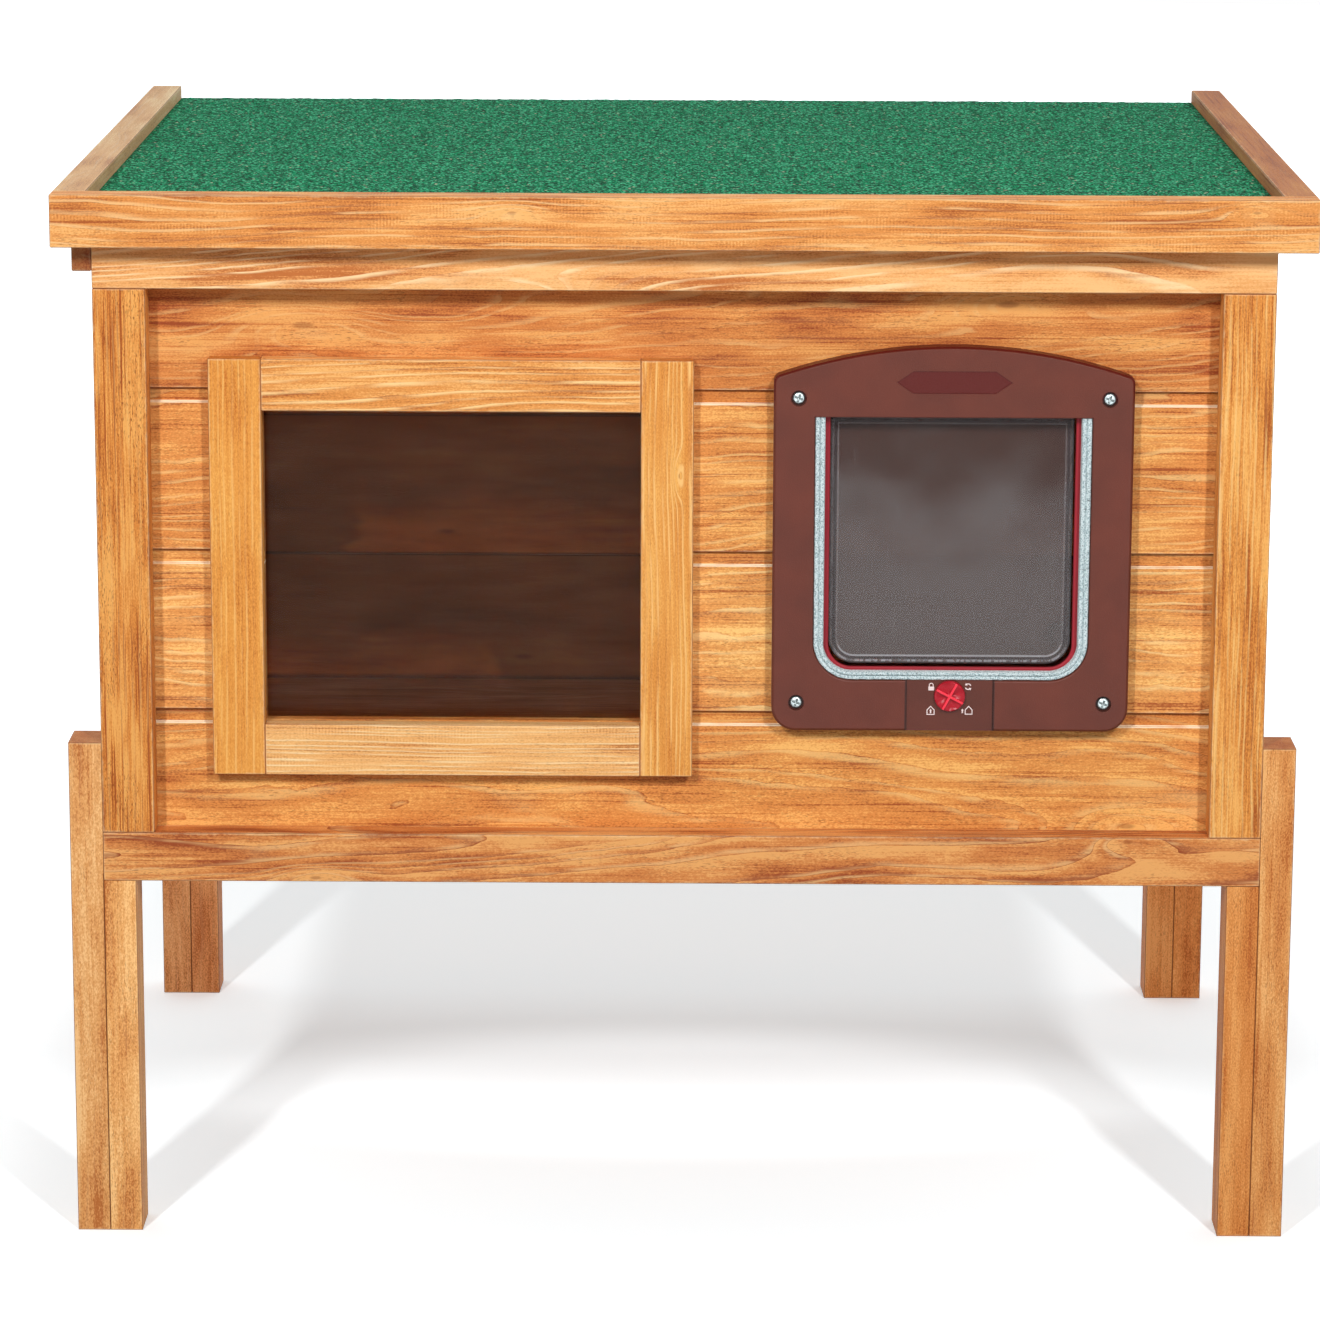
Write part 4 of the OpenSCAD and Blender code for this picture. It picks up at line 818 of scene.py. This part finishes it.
def rounded_copy(name, node, material, cuts):
    """New piece in the shape of one that came in; cuts pair a width with a test of an edge's middle."""
    bm = bmesh.new()
    bm.from_mesh(nodes[node].data)
    bmesh.ops.remove_doubles(bm, verts=bm.verts, dist=1e-6)
    bmesh.ops.dissolve_limit(bm, angle_limit=math.radians(0.4), verts=bm.verts, edges=bm.edges)
    for width, chosen in cuts:
        edges = [edge for edge in bm.edges if len(edge.link_faces) == 2 and edge.calc_face_angle() > 0.5
                 and chosen(*((edge.verts[0].co + edge.verts[1].co) / (2 * MM)))]
        bmesh.ops.bevel(bm, geom=edges, offset=width * MM, segments=3, profile=0.5, affect="EDGES",
                        clamp_overlap=True)
        print(name, "edges rounded:", len(edges), "by", width)
    points = np.array([vert.co for vert in bm.verts]) / MM
    faces = [[vert.index for vert in face.verts] for face in bm.faces]
    bm.free()
    return new_object(name, points, faces, material, sharp=35)


FLAP_X, FLAP_FACE, DIAL_PANEL_FACE = 179.05, -300.0, -297.5
OPENING_HALF, OPENING_LOW, OPENING_TOP, OPENING_ROUND = 91.8, 386.0, 564.0, 26.0
SCREW_HALF, SCREW_HEIGHTS, SCREW_SHADE = 102.8, (370.5, 576.8), 5.3
RIM_HALF, RIM_LOW, RIM_TOP = 110.0, 354.5, 596.0
PANEL_HALF, LABEL_LOW = 29.4, 575.0


def around_opening(x, y, z):
    """True for an edge of the front face that borders the opening."""
    inside = abs(x - FLAP_X) < OPENING_HALF + 0.1 and OPENING_LOW - 0.1 < z < OPENING_TOP + 0.1
    return inside and y < FLAP_FACE + 0.05


def on_outline(x, y, z):
    """True for an edge along the outer rim, in front of the hollow."""
    outside = abs(x - FLAP_X) > RIM_HALF or z > RIM_TOP or z < RIM_LOW
    return outside and y < FLAP_FACE + 1.2 and not in_dial_panel(x, y, z)


def in_dial_panel(x, y, z):
    """True for an edge of the recess around the dial."""
    return abs(x - FLAP_X) < PANEL_HALF + 0.2 and z < OPENING_LOW


def off_middle(w, x):
    """Distance to either side of the cat flap's middle."""
    return w.size(w.minus(x, FLAP_X))


def near_screws(w, place, reach):
    """One around each of the four screws, fading out at a reach; the screws mirror about two middles."""
    x, _, z = w.split(place)
    low, high = SCREW_HEIGHTS
    side = w.minus(off_middle(w, x), SCREW_HALF)
    level = w.minus(w.size(w.minus(z, (low + high) / 2)), (high - low) / 2)
    return w.rise(w.vector("LENGTH", w.join(side, 0, level)), reach + 0.5, reach - 0.5)


frame_material, w, shader, base = plastic("flap_frame_plastic", srgb(95, 42, 29), roughness=0.42,
                                         grain=0.9, grain_size=0.8, shade=0.34)
place = object_mm(w)
x, y, z = w.split(place)
recessed = w.above(y, FLAP_FACE + 0.5)
under_opening = w.below(z, OPENING_LOW)
in_panel = w.times(under_opening, w.below(off_middle(w, x), PANEL_HALF - 0.1), recessed)
in_label = w.times(recessed, w.above(z, LABEL_LOW))
# Painted shade in the grooves along the sides of the dial's recessed panel.
painted_groove_shade = w.times(w.rise(w.size(w.minus(off_middle(w, x), PANEL_HALF)), 1.0, 0.5), under_opening)
# Painted shade in the recess around each screw.
base = w.blend(near_screws(w, place, SCREW_SHADE), base, w.scaled(base, 0.45))
base = w.tinted(base, in_panel, (0.84, 0.87, 0.88))
base = w.blend(painted_groove_shade, base, w.scaled(base, 0.4))
finish(w, shader, w.blend(in_label, base, srgb(82, 8, 0)))
flap_frame = rounded_copy("flap_frame", "flap_outer_frame", frame_material,
                          [(0.55, on_outline), (1.3, around_opening)])
hand_over(flap_frame, "house", "brown_plastic", "flap_outer_frame")
for node in ("flap_tunnel", "flap_inner_frame"):
    dress(node, plastic(node + "_plastic", srgb(96, 50, 43))[0])

# %% [markdown]
# Two seals run around the opening, down one side, along the sill and up the other. The outer one
# is a pile strip with two rows, like the seal of a sliding window. The inner one is a soft red lip.
# Both follow the same path: a line down, a quarter circle, a line across, and the same back up. A
# band is ruled between that path and the same one drawn inwards, and its section is a plain curve.

# %% Seals
def u_path(inset=0.0, lift=0.0, step=0.8):
    """
    Points down the left side, along the sill and up the right side of the opening, in x and z.

    inset draws both sides and corners in, and lift raises the sill. A corner is its centre less
    the radius times a cosine and a sine.
    """
    radius = OPENING_ROUND - inset
    centre_x, corner_z = OPENING_HALF - OPENING_ROUND, OPENING_LOW + OPENING_ROUND
    centre_z = corner_z + lift - inset
    turn = np.linspace(0, np.pi / 2, 34)
    down = np.arange(OPENING_TOP, corner_z, -step)
    left = np.stack([np.full(len(down), -centre_x - radius), down], axis=1)
    corner = np.stack([-centre_x - radius * np.cos(turn), centre_z - radius * np.sin(turn)], axis=1)
    across = np.linspace(-centre_x, 0, 80)[1:]
    sill = np.stack([across, np.full(len(across), centre_z - radius)], axis=1)
    half_way = np.concatenate([left, corner, sill])
    return np.concatenate([half_way, half_way[-2::-1] * (-1, 1)])


def band(across, depth, inset, lift, front, back, rough=0.0, seed=1):
    """
    Closed band around the opening.

    across runs from 0 at the opening's edge to 1 at the band's inner edge, and depth from 0 at
    its back to 1 at its front; together they are its section. rough lowers points at random.
    """
    outer, inner = u_path(), u_path(inset, lift)
    flat = outer[:, None] + across[None, :, None] * (inner - outer)[:, None]
    shake = np.random.default_rng(seed).random(flat.shape[:2])
    y = back + (front - back) * depth[None] * (1 - rough * shake)
    return tube(np.stack([flat[..., 0] + FLAP_X, y, flat[..., 1]], axis=-1))


row_place = np.linspace(0, 1, 21)
pile_height = np.sqrt(np.clip(1 - np.abs(2 * ((2 * row_place) % 1.0) - 1) ** 2.4, 0, 1)) * 0.22 + 0.78
pile_height[[0, -1]] = 0.5
pile_across = np.concatenate([[0.0], row_place, [1.0]])
pile_depth = np.concatenate([[0.0], pile_height, [0.0]])

pile_material, w, shader = new_material("pile_surface", Roughness=0.95, Sheen_Weight=0.3)
place = object_mm(w)
tuft = w.noise(w.scaled(place, 1.1), roughness=0.7)
colour = w.blend(w.rise(tuft, 0.36, 0.56), srgb(138, 168, 174), srgb(228, 242, 244))
speck = w.rise(w.noise(w.scaled(place, 0.62), detail=1.0), 0.66, 0.74)
colour = w.blend(w.times(speck, 0.7), colour, srgb(70, 74, 76))
finish(w, shader, colour, height=w.times(tuft, 0.9))
pile_mesh = band(pile_across, pile_depth, inset=7.0, lift=5.5, front=-299.0, back=-292.0, rough=0.09)
pile_seal = new_object("pile_strip", *pile_mesh, pile_material, sharp=70)
hand_over(pile_seal, "house", "pile_seal", "flap_brush_seal")

lip_turn = np.linspace(-np.pi / 2, np.pi / 2, 13)
lip_across = np.concatenate([[0.0], 0.86 + 0.14 * np.cos(lip_turn[::-1]), [0.0]])
lip_depth = np.concatenate([[1.0], 0.5 + 0.5 * np.sin(lip_turn[::-1]), [0.0]])
lip_material = plastic("lip_rubber", srgb(156, 34, 46), roughness=0.5, grain=0.2)[0]
lip_mesh = band(lip_across, lip_depth, inset=10.4, lift=7.7, front=-292.0, back=-289.0)
red_lip = new_object("red_lip", *lip_mesh, lip_material)
hand_over(red_lip, "house", "lip_seal", "flap_red_lip")

# %% [markdown]
# Clear plastic has no colour of its own to speak of; what shows is what lies behind it and what it
# mirrors. The window is thin acrylic with a faint brown tint. The swinging pane is scuffed by paws
# and fur, and its haze is thickest low down. Haze is scattered light, so it is a pale base colour
# mixed with the clear part. The pale lines along the pane's rim are painted highlights.

# %% Panes
def clear(node, haze, clearness, roughness, ior):
    """Clear sheet; haze is a function of the place that returns the tint of its scattered light."""
    material, w, shader = new_material(node + "_clear", Transmission_Weight=clearness, IOR=ior)
    place = object_mm(w)
    scuff = w.cloud(place, (25, 25, 40))
    finish(w, shader, haze(w, place), w.rise(scuff, 0.3, 0.7, roughness, roughness * 1.6))
    dress(node, material)


def window_tint(w, place):
    """Faint brown tint with wipe marks."""
    wipe = w.cloud(place, (50, 50, 9), detail=3.0)
    return w.blend(w.rise(wipe, 0.35, 0.65), srgb(234, 194, 158), srgb(244, 208, 174))


PANE_HALF, PANE_LOW, PANE_TOP, PANE_ROUND, RIM = 81.0, 394.0, 562.5, 17.0, 5.2
HAZE_TOP, HAZE_FULL = 570.0, 460.0


def from_outline(w, place):
    """Distance in from the pane's outline: beyond a corner's centre it is the radius less a length."""
    x, _, z = w.split(place)
    side = w.minus(off_middle(w, x), PANE_HALF - PANE_ROUND)
    down = w.minus(PANE_LOW + PANE_ROUND, z)
    beyond = w.join(w.most(side, 0), w.most(down, 0), 0)
    inside = w.least(w.most(side, down), 0)
    depth = w.minus(PANE_ROUND, w.plus(w.vector("LENGTH", beyond), inside))
    return w.least(depth, w.minus(PANE_TOP, z))


def pane_haze(w, place):
    """Haze of the swinging pane: pale low down, brown at the top, with painted highlights along its rim
    that are brightest low down.
    """
    z = w.split(place)[2]
    cloud = w.cloud(place, (50, 50, 34), detail=3.0)
    low = w.rise(w.plus(z, w.around(cloud, 160.0)), HAZE_TOP, HAZE_FULL)
    colour = w.blend(low, srgb(114, 82, 72), srgb(151, 141, 139))
    scratch = w.rise(w.cloud(place, (1.6, 1.6, 40)), 0.62, 0.8)
    colour = w.blend(w.times(scratch, 0.25), colour, srgb(226, 226, 226))
    depth = from_outline(w, place)
    rim = w.times(w.rise(depth, RIM + 0.4, RIM), 0.5)
    colour = w.blend(rim, colour, srgb(104, 94, 98))
    # Painted highlights: a pale line along the rim's inner edge and a dashed one near the outline,
    # strongest low down.
    edge = w.times(w.rise(depth, RIM - 0.9, RIM - 0.3), w.rise(depth, RIM + 0.7, RIM + 0.2))
    second = w.times(w.rise(depth, 0.6, 1.2), w.rise(depth, 2.9, 2.1))
    highlight_dashes = w.rise(w.cloud(place, (3, 3, 12), detail=1.0), 0.4, 0.55, 0.3, 0.9)
    edge = w.most(edge, w.times(second, highlight_dashes))
    highlight_strength = w.rise(z, PANE_LOW + 16, PANE_LOW + 8, 0.3, 1.0)
    return w.blend(w.times(edge, highlight_strength), colour, srgb(250, 248, 252))


clear("window_pane", window_tint, clearness=0.99, roughness=0.02, ior=1.12)
clear("flap_pane", pane_haze, clearness=0.72, roughness=0.12, ior=1.25)

# %% [markdown]
# Screws, the dial and its shaft are all turned shapes: a profile swung around an axis. The cross
# recess of a screw is pressed into its head, so the points that fall inside a cross are pushed
# down. The four screws of the cat flap have pan heads. The others are countersunk and lie flush.

# %% Screws
CROSS_HALF, CROSS_REACH, CROSS_DEPTH = 0.65, 0.66, 1.5
LEG_FACE, LEG_SCREW_DEPTHS, LEG_SCREW_HEIGHTS = 411.0, (-280.5, 274.5), (266.5, 328.5)
HINGE_SCREW_X, WALL_LEAF_PLACE, ROOF_LEAF_PLACE = (237.67, 280.33), (304.8, 665.3), (318.4, 682.5)


def turned_screw(head_r, head_t, shank_r, length, dome):
    """Points of one screw: across, across and depth, with its head's face at depth nought."""
    steps = 64
    face = np.linspace(0, head_r, 18)
    rim = dome * (face / head_r) ** 4 * head_t
    shank = [(head_r, head_t), (shank_r, head_t), (shank_r, length - 2), (0.0, length)]
    profile = np.concatenate([np.stack([face, rim], axis=1), shank])
    a, b, depth = swung(profile, steps)
    slot = np.minimum(np.abs(a), np.abs(b))
    reach = np.maximum(np.abs(a), np.abs(b)) / (head_r * CROSS_REACH)
    in_cross = (slot < CROSS_HALF) & (reach < 1) & (np.arange(len(profile)) < len(face))[:, None]
    depth = np.where(in_cross, depth + CROSS_DEPTH * (1 - 0.6 * reach), depth)
    return np.stack([a, b, depth], axis=-1).reshape(-1, 3), grid_faces(len(profile), steps)


def screws(name, node, body, places, material, turn=20, **size):
    """All screws of one piece; places pair the middle of each head's face with its way in."""
    points, faces = turned_screw(**size)
    angle = np.radians(turn)
    placed = []
    for place, inward in places:
        inward = np.array(inward, dtype=float)
        across = np.roll(inward, 1)
        first = np.cos(angle) * across + np.sin(angle) * np.cross(inward, across)
        placed.append(points @ np.stack([first, np.cross(inward, first), inward]) + np.array(place))
    all_faces = np.concatenate([faces + k * len(points) for k in range(len(places))])
    hand_over(new_object(name, np.concatenate(placed), all_faces, material), body, "zinc_steel", node)


def zinc(name, tone=(1, 1, 1)):
    """Zinc plate with a faint bloom; returns the material with its wiring, shader and colour."""
    material, w, shader = new_material(name, Metallic=0.85)
    place = object_mm(w)
    bloom = w.noise(w.scaled(place, 0.5), detail=3.0)
    colour = w.blend(w.rise(bloom, 0.3, 0.7), srgb(178, 184, 188), srgb(208, 214, 216))
    colour = w.shade(colour, tone)
    bumps = w.times(w.noise(w.scaled(place, 3.0)), 0.05)
    finish(w, shader, colour, w.rise(bloom, 0.2, 0.8, 0.3, 0.45), bumps)
    return material, w, shader, colour


zinc_material = zinc("zinc_plate")[0]
screw_material, w, shader, colour = zinc("screw_zinc", (1.0, 1.05, 1.03))
# Painted shade: the deeper parts of each head, such as its cross recess, are darker.
painted_depth_shade = w.rise(w.split(object_mm(w))[1], FLAP_FACE + 0.8, FLAP_FACE + 1.5)
finish(w, shader, w.blend(painted_depth_shade, colour, srgb(118, 126, 126)))

SIDES = (-1, 1)
screws("flap_frame_screws", "flap_screws", "house",
       [((FLAP_X + side * SCREW_HALF, FLAP_FACE + 0.6, z), (0, 1, 0))
        for side in SIDES for z in SCREW_HEIGHTS],
       screw_material, head_r=4.0, head_t=2.4, shank_r=1.75, length=50.0, dome=0.45)
screws("leg_frame_screws", "leg_screws", "house",
       [((side * LEG_FACE, y, z), (-side, 0, 0))
        for side in SIDES for y in LEG_SCREW_DEPTHS for z in LEG_SCREW_HEIGHTS],
       zinc_material, turn=30, head_r=3.8, head_t=2.5, shank_r=1.75, length=40.0, dome=0.2)
hinge_x = [side * x for side in SIDES for x in HINGE_SCREW_X]
screws("wall_leaf_screws", "hinge_wall_screws", "house",
       [((x, *WALL_LEAF_PLACE), (0, -1, 0)) for x in hinge_x],
       zinc_material, turn=50, head_r=3.3, head_t=1.2, shank_r=1.75, length=15.8, dome=0.1)
screws("roof_leaf_screws", "hinge_roof_screws", "roof_lid",
       [((x, *ROOF_LEAF_PLACE), (0, 0, 1)) for x in hinge_x],
       zinc_material, turn=10, head_r=3.3, head_t=1.2, shank_r=1.75, length=15.8, dome=0.1)

# %% [markdown]
# The lock's dial is a red disc with two crossed fins to turn it by. Around it stand four small
# signs, printed on the panel: a padlock, two arrows that chase each other and two houses. Signs like
# these are drawn as strokes of even width, each stroke a thin raised strip.

# %% Dial
DIAL_Z, DIAL_FACE, DIAL_ROUND = 375.3, -300.8, 10.4
FIN_TURNS, FIN_RISES, FIN_HALF, DISH = (28, 118), (1.5, 1.46), 9.9, 1.4


def fin(turn, rise):
    """Tapered ridge across the dial: its height falls off towards both ends."""
    along = np.linspace(-FIN_HALF, FIN_HALF, 25)
    height = rise * (1 - 0.35 * np.abs(along / FIN_HALF) ** 8)
    across = np.array([-1.0, -0.75, -0.45, 0.45, 0.75, 1.0])
    share = np.array([-0.2, 0.8, 1.0, 1.0, 0.8, -0.2])
    a = np.radians(turn)
    x = along[:, None] * np.cos(a) + across[None] * np.sin(a)
    z = -along[:, None] * np.sin(a) + across[None] * np.cos(a)
    return tube(np.stack([x, -height[:, None] * share[None], z], axis=-1))


def joined(parts, place):
    """Several point and face lists as one, moved to a place."""
    points, faces, start = [], [], 0
    for part_points, part_faces in parts:
        points.append(part_points)
        faces += [[index + start for index in face] for face in part_faces]
        start += len(part_points)
    return np.concatenate(points) + np.array(place), faces


dial_profile = [(r, 0) for r in np.linspace(0, 8.9, 9)]
dial_profile += [(9.7, 0.15), (10.2, 0.5), (DIAL_ROUND, 1.1), (DIAL_ROUND, 3), (4, 3), (4, 27), (0, 27)]
DIAL_STEPS = 96
x, z, y = swung(dial_profile, DIAL_STEPS)
disc_points = np.stack([x, y, z], axis=-1).reshape(-1, 3)
disc_faces = grid_faces(len(dial_profile), DIAL_STEPS).tolist()


def dished(points, depth):
    """Sinks the quarters between the fins: depth, times the sine squared of twice the angle to a fin."""
    x, y, z = points.T
    angle = np.arctan2(-z, x) - np.radians(FIN_TURNS[0])
    reach = np.hypot(x, z) / DIAL_ROUND
    share = np.sin(2 * angle) ** 2 * np.clip(4 * reach * (1 - reach), 0, 1)
    return np.stack([x, np.where(y < 0.01, y + depth * share, y), z], axis=1)


dial_material, w, shader, base = plastic("dial_plastic", srgb(170, 4, 30), roughness=0.3, grain=0.1,
                                         shade=0.05)
# Painted light: the raised fins are coloured brighter than the disc.
painted_fin_light = w.rise(w.split(object_mm(w))[1], DIAL_FACE - 0.1, DIAL_FACE - 0.8)
finish(w, shader, w.blend(painted_fin_light, base, srgb(255, 60, 78)))
dial_parts = [(dished(disc_points, DISH), disc_faces)]
dial_parts += [fin(turn, rise) for turn, rise in zip(FIN_TURNS, FIN_RISES)]
dial = new_object("dial", *joined(dial_parts, (FLAP_X, DIAL_FACE, DIAL_Z)), dial_material, sharp=50)
hand_over(dial, "lock", "red_plastic", "lock_dial")
dress("lock_cams", plastic("cam_plastic", srgb(190, 20, 44), roughness=0.4)[0])


# %% Printed signs
PRINT_HEIGHT = 0.08


def ribbon(points, width):
    """Outline of a line of even width: its points half the width to one side, then back on the other."""
    points = np.array(points, dtype=float)
    way = np.diff(points, axis=0)
    way /= np.linalg.norm(way, axis=1, keepdims=True)
    before, after = np.vstack([way[:1], way]), np.vstack([way, way[-1:]])
    mitre = before + after
    mitre /= (mitre * before).sum(axis=1, keepdims=True)
    side = mitre[:, ::-1] * (-1, 1) * width / 2
    return np.vstack([points - side, (points + side)[::-1]])


def arc(centre, radius, start, end):
    """Points on a circle between two angles in degrees."""
    a = np.radians(np.linspace(start, end, 14))
    return np.stack([centre[0] + radius * np.cos(a), centre[1] + radius * np.sin(a)], axis=1)


def house_sign(x, z, half):
    """Outline of a small house, drawn in one go from the middle of its floor."""
    floor, eaves, wall = z - half, z + 0.1 * half, 0.85 * half
    return ribbon([(x - 0.02, floor), (x - wall, floor), (x - wall, eaves), (x, z + half),
                   (x + wall, eaves), (x + wall, floor), (x + 0.02, floor)], 0.6)


def arrow_head(base, way, size):
    """Triangle on a base point that points in the direction of way, in degrees."""
    a = np.radians(way)
    forward, side = np.array([np.cos(a), np.sin(a)]), np.array([-np.sin(a), np.cos(a)])
    base = np.array(base)
    return np.array([base + size * forward, base + size * 0.75 * side, base - size * 0.75 * side])


LOCK_SIGN, TURN_SIGN, IN_SIGN, OUT_SIGN = (-12.3, 5.2), (12.4, 6.2), (-12.5, -10.2), (13.0, -10.0)
x, z = LOCK_SIGN
signs = [np.array([(x - 1.9, z - 1.7), (x + 1.9, z - 1.7), (x + 1.9, z + 0.9), (x - 1.9, z + 0.9)])]
shackle = np.vstack([[(x + 1.3, z + 0.95)], arc((x, z + 1.9), 1.3, 0, 180), [(x - 1.3, z + 0.95)]])
signs += [ribbon(shackle, 0.55)]
for turn in (20, 200):
    curve = arc(TURN_SIGN, 1.9, turn, turn + 100)
    signs += [ribbon(curve, 0.75), arrow_head(curve[-1], turn + 190, 1.4)]
signs += [house_sign(*IN_SIGN, 2.8), house_sign(*OUT_SIGN, 2.7)]
for x, z in (IN_SIGN, (8.8, -10.0)):
    signs += [ribbon([(x, z - 2.0), (x, z - 0.2)], 0.9), arrow_head((x, z - 0.18), 90, 1.2)]


def printed(outline):
    """Thin prism over one outline, its front in front of the panel."""
    count = len(outline)
    flat = np.stack([outline[:, 0], np.zeros(count), outline[:, 1]], axis=1)
    points = np.concatenate([flat - (0, PRINT_HEIGHT, 0), flat + (0, 0.05, 0)])
    sides = [[k, (k + 1) % count, count + (k + 1) % count, count + k] for k in range(count)]
    return points, [list(range(count)), list(range(2 * count - 1, count - 1, -1))] + sides


print_material = plastic("sign_paint", srgb(240, 222, 220), roughness=0.6, grain=0.1)[0]
sign_mesh = joined([printed(outline) for outline in signs], (FLAP_X, DIAL_PANEL_FACE, DIAL_Z))
hand_over(new_object("signs", *sign_mesh, print_material), "house", "brown_plastic")

# %% [markdown]
# What is left is hidden from the front, but the lid opens and the back can be turned to view. The
# foam is pressed from beads, the heating mat is a printed film, the hinges are zinc plated and the
# grommet is rubber.

# %% Foam, mat, rubber and steel
for node in ("wall_insulation", "roof_insulation"):
    foam_material, w, shader = new_material(node + "_beads", Roughness=0.85)
    bead = w.cells(object_mm(w), 3.2)
    edge = w.rise(bead["Distance"], 0.45, 0.8)
    shade = w.blend(w.split(bead["Color"])[0], srgb(226, 226, 220), srgb(240, 240, 236))
    height = w.times(bead["Distance"], -0.5)
    finish(w, shader, w.blend(edge, shade, srgb(190, 190, 182)), height=height)
    dress(node, foam_material)

BUS_START, BUS_END = 212, 214
mat_material, w, shader = new_material("heating_film")
x, y, _ = w.split(object_mm(w))
stripe = w.rise(w.size(w.math("SINE", w.times(x, 0.35))), 0.3, 0.45)
bus = w.rise(w.size(y), BUS_START, BUS_END)
colour = w.blend(stripe, srgb(92, 92, 96), srgb(34, 34, 38))
finish(w, shader, w.blend(bus, colour, srgb(188, 122, 82)), w.plus(0.3, w.times(stripe, 0.2)),
       w.times(stripe, 0.1))
dress("heating_mat", mat_material)

dress("cable_grommet", plastic("grommet_rubber", srgb(34, 34, 36), roughness=0.65)[0])
for node in ("hinge_wall_leaves", "hinge_roof_leaves", "hinge_pins"):
    dress(node, zinc_material)
